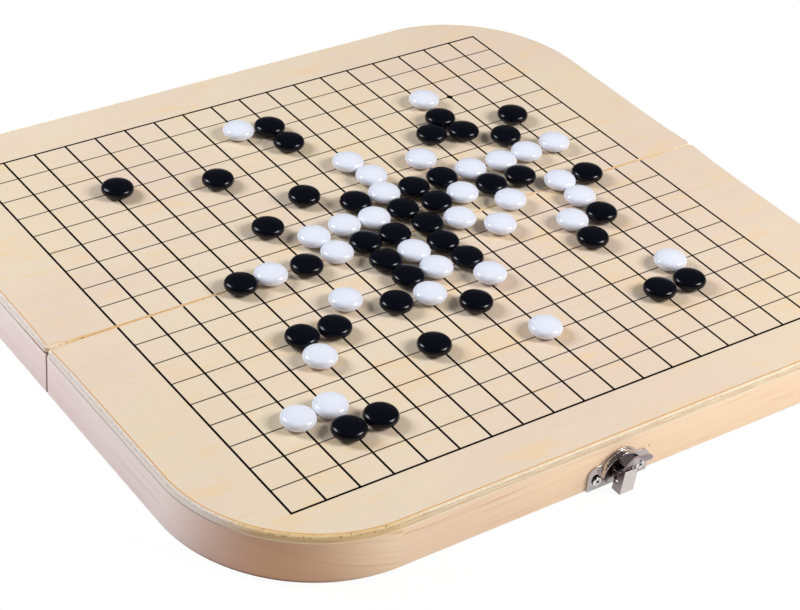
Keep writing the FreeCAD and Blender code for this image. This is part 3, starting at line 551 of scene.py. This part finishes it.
def panelPiece(half, material):
    # rings around the outline: inset by r(1 - cos a) and raised to top - r + r sin a over the rounded
    # edge of radius r, then drawn in level to a line in the middle, above and below
    turn = halfTurn[half]
    outline, normal = halfOutline()
    radius = edgeRadius(outline, turn)
    spineEnd = panel["spineShare"] * halfLength
    spineX = np.clip(outline[:, 0], -spineEnd, spineEnd)
    spine = np.stack([spineX, np.full(len(spineX), (foldEdge + outerFace) / 2)], 1)
    rings, heights, runs = [], [], []

    def addRing(place, height, run):
        rings.append(place)
        heights.append(np.broadcast_to(height, radius.shape))
        runs.append(np.broadcast_to(run, radius.shape))

    wall = panelTop - panelBottom
    sideRun = radius * pi / 2 + wall - radius
    addRing(spine, panelBottom, sideRun + panel["underRun"])
    for share in panel["underShares"]:
        addRing(outline + (spine - outline) * share, panelBottom, sideRun + panel["underRun"] * share)
    addRing(outline, panelBottom, sideRun)
    addRing(outline, (panelBottom + panelTop - radius) / 2, radius * pi / 2 + (wall - radius) / 2)
    for angle in np.linspace(0, pi / 2, panel["roundSteps"] + 1):
        inset = radius * (1 - math.cos(angle))
        height = panelTop - radius + radius * math.sin(angle)
        addRing(outline - normal * inset[:, None], height, radius * (pi / 2 - angle))
    flat = outline - normal * radius[:, None]
    for share in panel["topShares"]:
        place = flat + (spine - flat) * share
        addRing(place, panelTop, -np.linalg.norm(place - flat, axis=1))
    plan = np.stack(rings) * turn
    points = np.concatenate([plan, np.stack(heights)[..., None]], 2)
    rows, columns = points.shape[:2]
    step = np.linalg.norm(np.diff(outline, axis=0, append=outline[:1]), axis=1)
    along = np.concatenate([[0], np.cumsum(step)])
    run = np.stack(runs)
    uv = cornerUv(np.broadcast_to(along, (rows, columns + 1)), np.concatenate([run, run[:, :1]], 1))
    piece = makePiece(half + "Plywood", points, gridQuads(rows, columns), uv)
    return dress(piece, material, half + "_half", "plywood", half + "_panel")


def paintFace(tree, place, grain, ink):
    # pale wood with rose and honey clouds, warm spots, streaks and pores, and the printed grid over them
    clouds = ramp(tree, grain["Blotches"], *panel["roseStep"])
    base = blendColour(tree, clouds, panel["cream"], panel["rose"])
    honey = noise(tree, stretched(tree, place, panel["honeyStretch"], panel["honeyShift"]),
                  panel["honeyScale"], detail=1.0)
    base = blendColour(tree, ramp(tree, honey, *panel["honeyStep"]), base, panel["honey"])
    spots = noise(tree, stretched(tree, place, panel["spotStretch"], panel["spotShift"]),
                  panel["spotScale"], detail=3.0, roughness=0.6, distortion=0.6)
    base = blendColour(tree, ramp(tree, spots, *panel["spotStep"]), base, panel["warmSpot"])
    base = blendColour(tree, ramp(tree, grain["Streaks"], *panel["streakStep"]), base, panel["streak"])
    base = blendColour(tree, times(tree, grain["Flecks"], panel["poreShare"]), base, panel["streak"])
    base = blendColour(tree, times(tree, ink["Fine"], panel["fineInkShare"]), base, panel["fineInk"])
    return blendColour(tree, ink["Strong"], base, panel["ink"])


def paintEdge(tree, place, base):
    # the cut edge over the face: bands of cream and core with glue lines, a line and a bead of glue at
    # the foot painted bright as a highlight, the stain, torn fibres and the arris; they follow the run
    # down from the arris, which is v of the grain map and negative on the face
    along, run = splitVector(tree, grainUv(tree))[:2]
    x, y, z = splitVector(tree, place)
    sizeX = sums(tree, "ABSOLUTE", x)
    sizeY = sums(tree, "ABSOLUTE", y)
    aboveFoot = sums(tree, "SUBTRACT", z, panelBottom)

    def edgeNoise(scales, detail):
        flow = joinVector(tree, times(tree, along, scales[0]), times(tree, run, scales[1]))
        return noise(tree, flow, 1.0, detail, roughness=plyEdge["noiseRoughness"])

    def step(value, name):
        return ramp(tree, value, *plyEdge[name])

    smear = edgeNoise(plyEdge["smearScale"], detail=3.0)
    torn = edgeNoise(plyEdge["tornScale"], detail=2.0)
    pale = times(tree, step(sizeX, "paleEnds"), step(sizeY, "paleOffFold"))
    gold = times(tree, step(sizeX, "goldStart"), step(sizeX, "goldEnd"))
    cream = blendColour(tree, gold, plyEdge["cream"], plyEdge["goldCream"])
    cream = blendColour(tree, pale, cream, plyEdge["paleCream"])
    core = blendColour(tree, gold, plyEdge["core"], plyEdge["goldCore"])
    core = blendColour(tree, pale, core, plyEdge["paleCore"])
    groove = blendColour(tree, pale, plyEdge["line"], plyEdge["paleLine"])

    band = blendColour(tree, step(smear, "smearedCore"), cream, core)
    inner = times(tree, step(run, "coreRun"), step(aboveFoot, "coreFoot"), step(smear, "coreStep"))
    band = blendColour(tree, inner, band, core)
    wander = times(tree, sums(tree, "SUBTRACT", smear, 0.5), plyEdge["wander"])
    wavyRun = sums(tree, "ADD", run, wander)
    fibreShare = step(torn, "fibreStep")
    for depth, halfWidth, strength in plyEdge["glueLines"]:
        faded = halfWidth * plyEdge["glueFade"]
        mark = ramp(tree, gapTo(tree, wavyRun, depth), halfWidth, faded, strength, 0.0)
        band = blendColour(tree, times(tree, mark, fibreShare), band, groove)
    foot = times(tree, step(aboveFoot, "footLine"), step(pale, "footLineOnPale"))
    band = blendColour(tree, foot, band, groove)
    # the glue at the foot, painted bright as a highlight
    glueAndHighlightMask = times(tree, step(aboveFoot, "glueAndHighlightStep"), step(pale, "glueAndHighlightOffPale"))
    band = blendColour(tree, glueAndHighlightMask, band, plyEdge["glueAndFootHighlight"])
    stain = times(tree, step(y, "stainBack"), step(y, "stainFront"),
                  step(x, "stainLeft"), step(aboveFoot, "stainFoot"))
    band = blendColour(tree, stain, band, plyEdge["stain"])
    onGold = sums(tree, "MULTIPLY_ADD", gold, plyEdge["tornOnGold"], plyEdge["tornPlain"])
    fibre = times(tree, step(torn, "tornStep"), step(run, "tornFrom"), step(run, "tornTo"), onGold)
    band = blendColour(tree, fibre, band, plyEdge["tornFibre"])
    base = blendColour(tree, step(run, "edgeStart"), base, band)

    arris = ramp(tree, gapTo(tree, wavyRun, plyEdge["arrisRun"]), plyEdge["arrisHalf"],
                 step(sizeY, "arrisReach"), 1.0, 0.0)
    far = sums(tree, "MAXIMUM", step(x, "farRight"), step(y, "farBack"))
    return blendColour(tree, times(tree, arris, step(far, "arrisFar")), base, plyEdge["arris"])


def plywoodMaterial():
    material, tree, shader = newMaterial("plywood")
    place = objectPlace(tree)
    grain = useGroup(tree, woodGrain, Vector=place, **panel["grain"])
    ink = useGroup(tree, printedGrid, Vector=place)
    base = paintEdge(tree, place, paintFace(tree, place, grain, ink))
    finishWood(tree, shader, base, grain["Streaks"], panel)
    inked = sums(tree, "MAXIMUM", ink["Strong"], ink["Fine"])
    plug(tree, ramp(tree, inked, *panel["glossStep"]), shader.inputs["Specular IOR Level"])
    return material


plywood = plywoodMaterial()
for half in halfTurn:
    panelPiece(half, plywood)
print("plywood panels built")


# pine frame round each half
pine = {
    "peach": colour(246, 219, 188),
    "rose": colour(240, 212, 186),
    "line": colour(219, 163, 112),
    # lilac tones: painted cool light from the left, on the side walls and the corners' side ends
    "lilac": colour(240, 222, 216),
    "lilacRose": colour(236, 213, 208),
    "lilacLine": colour(216, 190, 180),
    "endGrain": colour(210, 153, 113),
    "rimShade": colour(112, 66, 52),    # lower edge of the corners
    "seamShade": colour(128, 98, 88),   # upright edges at the fold
    "dark": colour(150, 100, 74),       # pin hole in the front rail
    "grain": {"Line Scale": 120.0, "Run Scale": 5.0, "Blotch Scale": 9.0, "Fleck Scale": 600.0},
    "foldRailLines": 160.0,         # line scale of the fold rails
    "blotchStep": (0.35, 0.70),
    "streakStep": (0.56, 0.74, 0.0, 0.60),
    "fineStretch": (14.0, 700.0, 1.0),      # short fine lines between the streaks
    "fineStep": (0.45, 0.75, 0.0, 0.30),
    "cornerRun": 149.0 * mm,        # along the middle of a corner, from its side end to its rail end
    "lilacToPeach": (0.30, 0.55, 1.0, 0.0),
    "endGrainShare": 0.75,
    "rimShadeUp": (2.2 * mm, 0.8 * mm),     # up from the rim
    "seamShadeOff": (1.6 * mm, 0.7 * mm, 0.0, 0.7),     # off the fold, and out to the outer face
    "seamShadeFace": (halfLength - 2.2 * mm, halfLength - 1.2 * mm),
    "pinHole": (23.4 * mm, 17.7 * mm),      # across and up the front rail
    "pinHoleRadius": 0.55 * mm,
    "pinHoleShare": 0.85,
    "roughnessStep": (0.3, 0.7, 0.50, 0.62),
    "foldRailRoughness": 0.5,
    "gloss": 0.28,
    "bump": 0.15,
    "sideEase": 1.0 * mm,           # how far a side rail's outer face falls back at the fold
    "rimEase": 0.8 * mm,            # lower outer edge
    "innerEase": 0.25 * mm,         # both inner edges
    "topEase": 0.12 * mm,           # upper outer edge
    "easeSteps": 4,
    "railSteps": 24,
    "cornerSteps": 48,
    "sideSteps": 12,
}


def pineMaterial(name, grainTurn, grainShift, paintedCoolLight):
    # the grain map runs along the rail in u and round it in v; grainTurn tips the grain against the rail;
    # the last argument is 0 for peach wood, 1 for wood tinted lilac by painted cool light from the left
    # and
    # None for a corner, which passes from the painted lilac at its side end to peach at its rail end,
    # with
    # darker cut grain in between: the bell (4s(1 - s))^2
    material, tree, shader = newMaterial(name)
    uv = grainUv(tree)
    cutGrain = 0.0
    if paintedCoolLight is None:
        share = sums(tree, "DIVIDE", splitVector(tree, uv)[0], pine["cornerRun"], clamp=True)
        paintedCoolLight = ramp(tree, share, *pine["lilacToPeach"])
        bell = times(tree, 4.0, share, sums(tree, "SUBTRACT", 1.0, share))
        cutGrain = times(tree, bell, bell, pine["endGrainShare"])
    tipped = addNode(tree, "ShaderNodeMapping")
    plug(tree, uv, tipped.inputs["Vector"])
    plug(tree, (0, 0, math.radians(grainTurn)), tipped.inputs["Rotation"])
    plug(tree, grainShift, tipped.inputs["Location"])
    grain = useGroup(tree, woodGrain, Vector=tipped.outputs[0], **pine["grain"])
    blotch = ramp(tree, grain["Blotches"], *pine["blotchStep"])
    # the lilac tones paint the cool light from the left into the wood's colour
    base = blendColour(tree, paintedCoolLight, blendColour(tree, blotch, pine["peach"], pine["rose"]),
                       blendColour(tree, blotch, pine["lilac"], pine["lilacRose"]))
    line = blendColour(tree, paintedCoolLight, pine["line"], pine["lilacLine"])
    base = blendColour(tree, ramp(tree, grain["Streaks"], *pine["streakStep"]), base, line)
    fine = noise(tree, stretched(tree, tipped.outputs[0], pine["fineStretch"]), 1.0)
    base = blendColour(tree, ramp(tree, fine, *pine["fineStep"]), base, line)
    base = blendColour(tree, cutGrain, base, pine["endGrain"])
    place = objectPlace(tree)
    x, y, z = splitVector(tree, place)
    rim = times(tree, cutGrain, ramp(tree, z, *pine["rimShadeUp"]))
    base = blendColour(tree, rim, base, pine["rimShade"])
    seam = times(tree, ramp(tree, sums(tree, "ABSOLUTE", y), *pine["seamShadeOff"]),
                 ramp(tree, sums(tree, "ABSOLUTE", x), *pine["seamShadeFace"]))
    base = blendColour(tree, seam, base, pine["seamShade"])
    holeX, holeZ = pine["pinHole"]
    hole = useGroup(tree, smallMark, Vector=place, X=holeX, Y=-float(outerFace), Z=holeZ,
                    Radius=pine["pinHoleRadius"])["Mark"]
    base = blendColour(tree, times(tree, hole, pine["pinHoleShare"]), base, pine["dark"])
    finishWood(tree, shader, base, grain["Streaks"], pine)
    shader.inputs["Specular IOR Level"].default_value = pine["gloss"]
    return material


def foldRailMaterial():
    material, tree, shader = newMaterial("pineFoldRail")
    lines = {**pine["grain"], "Line Scale": pine["foldRailLines"]}
    grain = useGroup(tree, woodGrain, Vector=objectPlace(tree), **lines)
    blotch = ramp(tree, grain["Blotches"], *pine["blotchStep"])
    base = blendColour(tree, blotch, pine["peach"], pine["rose"])
    base = blendColour(tree, ramp(tree, grain["Streaks"], *pine["streakStep"]), base, pine["line"])
    plug(tree, base, shader.inputs["Base Color"])
    shader.inputs["Roughness"].default_value = pine["foldRailRoughness"]
    return material


def railSection(width):
    # loop round a rail's section, from across = 0 inside to width outside and from the rim up:
    # four corner arcs with their own radii; width is one number for each station along the rail
    width = np.asarray(width)[:, None]
    corners = [          # across share, up share, radius, first angle
        (1, 0, pine["rimEase"], -90),
        (1, 1, pine["topEase"], 0),
        (0, 1, pine["innerEase"], 90),
        (0, 0, pine["innerEase"], 180),
    ]
    across, up = [], []
    for right, upper, radius, start in corners:
        angle = np.radians(start + np.linspace(0, 90, pine["easeSteps"] + 1))[None, :]
        across.append(right * width + (radius if right == 0 else -radius) + radius * np.cos(angle))
        centreUp = upper * panelBottom + (radius if upper == 0 else -radius)
        up.append(np.broadcast_to(centreUp + radius * np.sin(angle), across[-1].shape))
    return np.concatenate(across, 1), np.concatenate(up, 1)


def railPiece(name, path, outward, width, material, body, node):
    # the section carried along the path: point = path + outward * across + up; both ends drawn to a point
    across, up = railSection(width)
    plan = path[:, None, :] + outward[:, None, :] * across[..., None]
    points = np.concatenate([plan, up[..., None]], 2)
    ends = [points[:1].mean(1, keepdims=True) + np.zeros_like(points[:1]),
            points[-1:].mean(1, keepdims=True) + np.zeros_like(points[-1:])]
    points = np.concatenate([ends[0], points, ends[1]])
    rows, columns = points.shape[:2]
    step = np.linalg.norm(np.diff(points, axis=1, append=points[:, :1]), axis=2)
    around = np.concatenate([np.zeros((rows, 1)), np.cumsum(step, 1)], 1)
    around[0], around[-1] = around[1], around[-2]
    middle = points.mean(1)
    travel = np.concatenate([[0], np.cumsum(np.linalg.norm(np.diff(middle, axis=0), axis=1))])
    uv = cornerUv(np.broadcast_to(travel[:, None], around.shape), around)
    piece = makePiece(name, points, gridQuads(rows, columns), uv)
    return dress(piece, material, body, "pine", node)


def buildFrame(half):
    # paths along the rails' inner faces, each with its outward direction: the long rail's is straight,
    # a corner's is an arc, centre + radius * (cos a, sin a), and a side rail's is straight, with the
    # width wall - s + sqrt(s^2 - depth^2) near the fold, where its outer face falls back on a small arc
    turn = halfTurn[half]
    body = half + "_half"
    railX = np.linspace(-railEnd, railEnd, pine["railSteps"] + 1)
    path = np.stack([railX, np.full(len(railX), outerFace - wallThick)], 1)
    outward = np.repeat(np.array([[0.0, 1.0]]), len(railX), 0)
    railPiece(half + "Rail", path * turn, outward * turn, np.full(len(path), wallThick),
              pineLong, body, half + "_rail")
    for sign in (-1, 1):
        side = "right" if sign * turn > 0 else "left"
        angle = np.linspace(0, pi / 2, pine["cornerSteps"] + 1)
        ray = np.stack([sign * np.cos(angle), np.sin(angle)], 1)
        arc = np.array([sign * railEnd, cornerCentreY]) + (cornerRadius - wallThick) * ray
        railPiece(half + side.title() + "Corner", arc * turn, ray * turn, np.full(len(arc), wallThick),
                  pineCorner, body, "%s_%s_corner" % (half, side))
        small, steps = pine["sideEase"], pine["sideSteps"]
        nearFold = foldEdge + small * (1 - np.cos(np.linspace(0, pi / 2, steps + 1)))
        stations = np.concatenate([nearFold, np.linspace(nearFold[-1], cornerCentreY, steps + 1)[1:]])
        depth = np.clip(foldEdge + small - stations, 0, small)
        width = wallThick - small + np.sqrt(small ** 2 - depth ** 2)
        path = np.stack([np.full(len(stations), sign * (halfLength - wallThick)), stations], 1)
        outward = np.repeat(np.array([[sign, 0.0]]), len(stations), 0)
        railPiece(half + side.title() + "Side", path * turn, outward * turn, width,
                  pineSide, body, "%s_%s_side" % (half, side))


pineLong = pineMaterial("pineLongGrain", grainTurn=0.0, grainShift=(0.0, 0.0, 0.0), paintedCoolLight=0.0)
pineSide = pineMaterial("pineSideGrain", grainTurn=0.0, grainShift=(1.7, 0.629, 1.7), paintedCoolLight=1.0)
pineCorner = pineMaterial("pineCornerGrain", grainTurn=14.0, grainShift=(4.3, 1.591, 4.3), paintedCoolLight=None)
pineFoldRail = foldRailMaterial()
for half in halfTurn:
    buildFrame(half)
print("pine frame built")


# playing stones
stone = {
    "edgeRadius": 3.4 * mm,
    "ringSteps": 48,
    "capSteps": 8,
    "edgeSteps": 10,
    "sharpAngle": 80,
    "crownDepth": 1e-5,             # points this near the full height are the stones' middles
    "placeDigits": 5,               # decimals that tell one stone's middle from another's
    "white": colour(230, 234, 248),
    "black": colour(6, 7, 18),
    "whiteRoughness": 0.22,
    "blackRoughness": 0.19,
    "whiteGloss": 0.5,
    "blackGloss": 0.24,
    "cloudScale": 40.0,             # faint clouds in the polish
    "cloudStep": (0.3, 0.7),
    "cloudShares": (0.85, 1.15),    # of the roughness
}


def stoneCentres(node):
    # each stone's highest point, at its middle, is the only one at the node's full height
    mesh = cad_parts[node].data
    places = np.empty(len(mesh.vertices) * 3, np.float32)
    mesh.vertices.foreach_get("co", places)
    places = places.reshape(-1, 3)
    top = places[:, 2].max()
    crowns = places[places[:, 2] > top - stone["crownDepth"]][:, :2]
    return np.unique(np.round(crowns, stone["placeDigits"]), axis=0), places[:, 2].min(), top


def lensProfile(radius, height):
    # half outline of a stone: spherical caps of radius R and a rim arc of radius e that meet them
    # smoothly, (R - e)^2 = a^2 + (R - h/2)^2 with a = radius - e
    rim = stone["edgeRadius"]
    arm, half = radius - rim, height / 2
    ball = (arm ** 2 + half ** 2 - rim ** 2) / (2 * (half - rim))
    lean = math.atan2(arm, ball - half)
    cap = np.linspace(0, lean, stone["capSteps"] + 1)
    edge = np.linspace(lean, pi - lean, stone["edgeSteps"] + 1)[1:-1]
    upperR, upperZ = ball * np.sin(cap), ball * np.cos(cap) - (ball - half)
    edgeR, edgeZ = arm + rim * np.sin(edge), rim * np.cos(edge)
    r = np.concatenate([upperR, edgeR, upperR[::-1]])
    z = np.concatenate([upperZ, edgeZ, -upperZ[::-1]])
    return r, z + half


def stonesPiece(name, node, material, body, slotName):
    # the profile turned about z: (r cos a, r sin a, z), copied to every centre
    centres, low, top = stoneCentres(node)
    radius = float(centres[:, 0].min() - partBox(node)[0][0])
    r, z = lensProfile(radius, float(top - low))
    angle = np.linspace(0, 2 * pi, stone["ringSteps"], endpoint=False)
    one = np.stack([r[:, None] * np.cos(angle), r[:, None] * np.sin(angle),
                    np.repeat(z[:, None], len(angle), 1)], 2)
    shift = np.concatenate([centres, np.full((len(centres), 1), low)], 1)
    points = one[None] + shift[:, None, None, :]
    firstPoints = np.arange(len(centres)) * len(r) * len(angle)
    quads = gridQuads(len(r), len(angle))[None] + firstPoints[:, None, None]
    piece = makePiece(name, points, quads.reshape(-1, 4), sharpAngle=stone["sharpAngle"])
    return dress(piece, material, body, slotName, node)


def stoneMaterial(name, tone, roughness, gloss):
    material, tree, shader = newMaterial(name)
    cloud = noise(tree, objectPlace(tree), stone["cloudScale"], detail=1.0)
    shader.inputs["Base Color"].default_value = tone
    smooth, rough = [share * roughness for share in stone["cloudShares"]]
    plug(tree, ramp(tree, cloud, *stone["cloudStep"], smooth, rough), shader.inputs["Roughness"])
    shader.inputs["Specular IOR Level"].default_value = gloss
    return material


whiteStone = stoneMaterial("whiteStone", stone["white"], stone["whiteRoughness"], stone["whiteGloss"])
blackStone = stoneMaterial("blackStone", stone["black"], stone["blackRoughness"], stone["blackGloss"])
for half in halfTurn:
    stonesPiece(half + "BlackStones", half + "_black_stones", blackStone, half + "_stones", "black_stone")
    stonesPiece(half + "WhiteStones", half + "_white_stones", whiteStone, half + "_stones", "white_stone")
print("stones laid")


# metal fittings: the latch, the strike, the hinges and their screws
fittings = {
    "nickel": colour(200, 191, 190),
    "nickelRoughness": 0.14,
    "satin": colour(232, 224, 220),
    "satinRoughness": 0.36,
    "flankShadeFoot": colour(176, 164, 164),     # painted shade on the sides of the hook, low and high
    "flankShadeTop": colour(104, 90, 90),
    "flankDepth": 0.4 * mm,
    "tongue": colour(196, 182, 188),
    "tongueRoughness": 0.28,
    "tongueMetal": 0.5,
    "hoodShade": colour(50, 38, 38),   # painted shade inside the hood, close to the wall
    "hoodShadeShare": 0.9,
    "recessSides": (15.2 * mm, 14.2 * mm),  # to each side of the hood's middle
    "recessArch": (15.6 * mm, 15.1 * mm),   # from the centre of its arch
    "recessCentre": 8.5 * mm,               # height of that centre
    "recessUp": (1.5 * mm, 9.0 * mm),
    "recessIn": (1.0 * mm, 3.2 * mm),       # in from the plate's front
    "screwFace": colour(244, 242, 240),
    "screwShade": colour(70, 62, 60),
    "screwFade": (0.75 * mm, 0.45 * mm),    # below the head's face: dark, and bright
    "steel": colour(206, 202, 198),
    "steelRoughness": 0.24,
    "smudgeScale": 260.0,
    "smudgeStep": (0.35, 0.7),
    "smudgeShares": (0.8, 1.5),     # of the roughness
    "flatAngle": 1,                 # flatter edges are dissolved, in degrees
    "bevelAngle": 40,               # sharper edges are bevelled
    "bevel": 0.22 * mm,
    "bevelSegments": 2,
}


def metalMaterial(name, tone, roughness, metallic=1.0):
    # tone is a colour, or a function that works one out from the place x, y, z
    material, tree, shader = newMaterial(name)
    place = objectPlace(tree)
    if callable(tone):
        tone = tone(tree, *splitVector(tree, place))
    plug(tree, tone, shader.inputs["Base Color"])
    shader.inputs["Metallic"].default_value = metallic
    smudge = noise(tree, place, fittings["smudgeScale"])
    smooth, rough = [share * roughness for share in fittings["smudgeShares"]]
    plug(tree, ramp(tree, smudge, *fittings["smudgeStep"], smooth, rough), shader.inputs["Roughness"])
    return material


def plateToneWithHoodShade(tree, x, y, z):
    # painted shade inside the hood: near the middle of the plate, above the rim and close to the wall
    low, high = partBox("latch_plate")
    fromFront = sums(tree, "SUBTRACT", y, float(low[1]))
    fromMiddle = gapTo(tree, x, float(low[0] + high[0]) / 2)
    reach = reachOf(tree, fromMiddle, sums(tree, "SUBTRACT", z, fittings["recessCentre"]))
    hoodShadeMask = times(
        tree,
        ramp(tree, fromMiddle, *fittings["recessSides"]),
        ramp(tree, fromFront, *fittings["recessIn"]),
        ramp(tree, z, *fittings["recessUp"]),
        ramp(tree, reach, *fittings["recessArch"]),
        fittings["hoodShadeShare"],
    )
    return blendColour(tree, hoodShadeMask, fittings["nickel"], fittings["hoodShade"])


def hookToneWithFlankShade(tree, x, y, z):
    # painted shade: the hook's two cheeks are darker than its front, most of all at their top
    low, high = partBox("latch_hook")
    halfWidth, depth = float(high[0] - low[0]) / 2, fittings["flankDepth"]
    fromMiddle = gapTo(tree, x, float(low[0] + high[0]) / 2)
    flankShadeMask = ramp(tree, fromMiddle, halfWidth - depth, halfWidth - depth / 2)
    height = ramp(tree, z, float(low[2]), float(high[2]))
    flankShadeTone = blendColour(tree, height, fittings["flankShadeFoot"], fittings["flankShadeTop"])
    return blendColour(tree, flankShadeMask, fittings["satin"], flankShadeTone)


def screwTone(tree, x, y, z):
    # bright on the head's face and dark below it, in the cross and round the rim
    headFace = -float(partBox("latch_screws")[0][1])
    dark, bright = fittings["screwFade"]
    raised = ramp(tree, sums(tree, "ABSOLUTE", y), headFace - dark, headFace - bright)
    return blendColour(tree, raised, fittings["screwShade"], fittings["screwFace"])


def softenedPart(name, node, material, body):
    # a cleaned copy of the part with a small bevel on every sharp edge
    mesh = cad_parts[node].data.copy()
    cleaned(mesh, math.radians(fittings["flatAngle"]))
    piece = linked(name, mesh)
    bevel = piece.modifiers.new("softEdges", "BEVEL")
    bevel.width = fittings["bevel"]
    bevel.segments = fittings["bevelSegments"]
    bevel.limit_method = "ANGLE"
    bevel.angle_limit = math.radians(fittings["bevelAngle"])
    bevel.harden_normals = True
    return dress(piece, material, body, "latch_metal", node)


nickel = metalMaterial("nickel", fittings["nickel"], fittings["nickelRoughness"])
screwHead = metalMaterial("screwHead", screwTone, fittings["nickelRoughness"])
satinNickel = metalMaterial("satinNickel", hookToneWithFlankShade, fittings["satinRoughness"])
steel = metalMaterial("screwSteel", fittings["steel"], fittings["steelRoughness"])
latchNickel = metalMaterial("latchNickel", plateToneWithHoodShade, fittings["nickelRoughness"])
tongueNickel = metalMaterial("tongueNickel", fittings["tongue"], fittings["tongueRoughness"],
                             fittings["tongueMetal"])
softenedPart("latchBase", "latch_plate", latchNickel, "front_half")
softenedPart("latchTongue", "latch_lever", tongueNickel, "lever")
softenedPart("latchCatch", "latch_hook", satinNickel, "hook")
softenedPart("strike", "strike_plate", nickel, "back_half")

plainFinish = {
    "latch_lever_pin": nickel, "latch_hook_pin": nickel,
    "latch_screws": screwHead, "strike_screws": screwHead,
}
for half in halfTurn:
    plainFinish[half + "_fold_rail"] = pineFoldRail
    plainFinish[half + "_hinge_screws"] = steel
for side in ("left", "right"):
    for hingePart in ("front_leaf", "back_leaf", "pin"):
        plainFinish["%s_hinge_%s" % (side, hingePart)] = steel
for node, material in plainFinish.items():
    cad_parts[node].data.materials.clear()
    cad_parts[node].data.materials.append(material)
print("fittings finished")


# floor, sky and lamps
studio = {
    "floorTone": (0.86, 0.86, 0.86, 1.0),
    "floorRoughness": 0.9,
    "floorGloss": 0.1,
    "floorClear": 0.94,             # share of what lies behind the floor that the camera sees
    "mirroredFloor": 0.85,          # its glow where shiny things mirror it, and the share of that glow
    "mirroredShare": 0.72,
    "floorSize": 6.0,
    "skyStrength": 0.18,
    "skySeen": 1.02,
    "mirroredSky": 0.09,
    "softboxes": [                  # name, place, size, power in watts, colour
        ("rightBox", (1.11, -1.15, 1.25), (0.75, 0.75), 35.0, (1.0, 0.975, 0.94)),
        ("leftBox", (-1.10, 1.05, 1.15), (0.7, 0.7), 27.0, (0.93, 0.96, 1.0)),
    ],
    "aim": (0.0, 0.0, 0.02),
}

# camera: its place, and its directions to the right and forward
shot = {
    "width": 800,                   # of the render, in pixels
    "focalPixels": 2220.0,
    "place": (-0.7683, -1.0022, 0.8718),
    "right": (0.8203, -0.5667, 0.0773),
    "forward": (0.5002, 0.6453, -0.5774),
    "sensor": 36.0,
}


def whiteGlow(tree, node, strength):
    plug(tree, (1, 1, 1, 1), node.inputs["Color"])
    plug(tree, strength, node.inputs["Strength"])
    return node.outputs[0]


def mixShaders(tree, share, first, second):
    node = addNode(tree, "ShaderNodeMixShader")
    for source, socket in zip((share, first, second), node.inputs):
        plug(tree, source, socket)
    return node.outputs[0]


def seenStraight(tree, rays):
    # 1 for what the camera sees, by itself or through something clear
    return sums(tree, "MAXIMUM", rays["Is Camera Ray"], rays["Is Transmission Ray"])


def aimed(thing, place, target):
    thing.location = place
    thing.rotation_mode = "QUATERNION"
    thing.rotation_quaternion = (Vector(target) - Vector(place)).to_track_quat("-Z", "Y")


def buildFloor():
    # a level square at the object's lowest point, matt and pale for the light; glowing plainly where
    # shiny things mirror it; clear for lamps and, but for a little shading, for the camera, so that a
    # half folded below the rims stays in view
    half, low = studio["floorSize"] / 2, float(cadBox[0][2])
    x, y = np.meshgrid([-half, half], [-half, half], indexing="ij")
    points = np.stack([x, y, np.full_like(x, low)], 2)
    floor = makePiece("floor", points, gridQuads(2, 2, closed=False))
    material, tree, shader = newMaterial("paleFloor")
    shader.inputs["Base Color"].default_value = studio["floorTone"]
    shader.inputs["Roughness"].default_value = studio["floorRoughness"]
    shader.inputs["Specular IOR Level"].default_value = studio["floorGloss"]
    rays = addNode(tree, "ShaderNodeLightPath").outputs
    glow = whiteGlow(tree, addNode(tree, "ShaderNodeEmission"), studio["mirroredFloor"])
    mirrored = times(tree, rays["Is Glossy Ray"], studio["mirroredShare"])
    matt = mixShaders(tree, mirrored, shader.outputs[0], glow)
    clear = addNode(tree, "ShaderNodeBsdfTransparent").outputs[0]
    straight = times(tree, seenStraight(tree, rays), studio["floorClear"])
    share = sums(tree, "MAXIMUM", rays["Is Shadow Ray"], straight)
    plug(tree, mixShaders(tree, share, matt, clear), tree.nodes["Material Output"].inputs["Surface"])
    floor.data.materials.append(material)


def buildSky():
    # dim for the light, dimmer where shiny things mirror it, and white where it is seen
    world = bpy.data.worlds.new("studioSky")
    bpy.context.scene.world = world
    world.use_nodes = True
    tree = world.node_tree
    rays = addNode(tree, "ShaderNodeLightPath").outputs
    strength = ramp(tree, rays["Is Glossy Ray"], 0.0, 1.0, studio["skyStrength"], studio["mirroredSky"])
    dim = whiteGlow(tree, tree.nodes["Background"], strength)
    seen = whiteGlow(tree, addNode(tree, "ShaderNodeBackground"), studio["skySeen"])
    sky = mixShaders(tree, seenStraight(tree, rays), dim, seen)
    plug(tree, sky, tree.nodes["World Output"].inputs["Surface"])


def buildLights():
    for name, place, size, power, tone in studio["softboxes"]:
        lamp = bpy.data.lights.new(name, "AREA")
        lamp.shape = "RECTANGLE"
        lamp.size, lamp.size_y = size
        lamp.energy = power
        lamp.color = tone
        aimed(linked(name, lamp), place, studio["aim"])


def buildCamera():
    data = bpy.data.cameras.new("camera")
    data.sensor_width = shot["sensor"]
    data.lens = shot["focalPixels"] / shot["width"] * shot["sensor"]
    camera = linked("camera", data)
    right = Vector(shot["right"]).normalized()
    back = -Vector(shot["forward"]).normalized()
    up = back.cross(right).normalized()
    right = up.cross(back)
    turn = Matrix((right, up, back)).transposed()
    camera.matrix_world = Matrix.Translation(shot["place"]) @ turn.to_4x4()
    bpy.context.scene.camera = camera


buildFloor()
buildSky()
buildLights()
buildCamera()
bpy.context.scene.view_settings.view_transform = "Standard"
print("studio set")
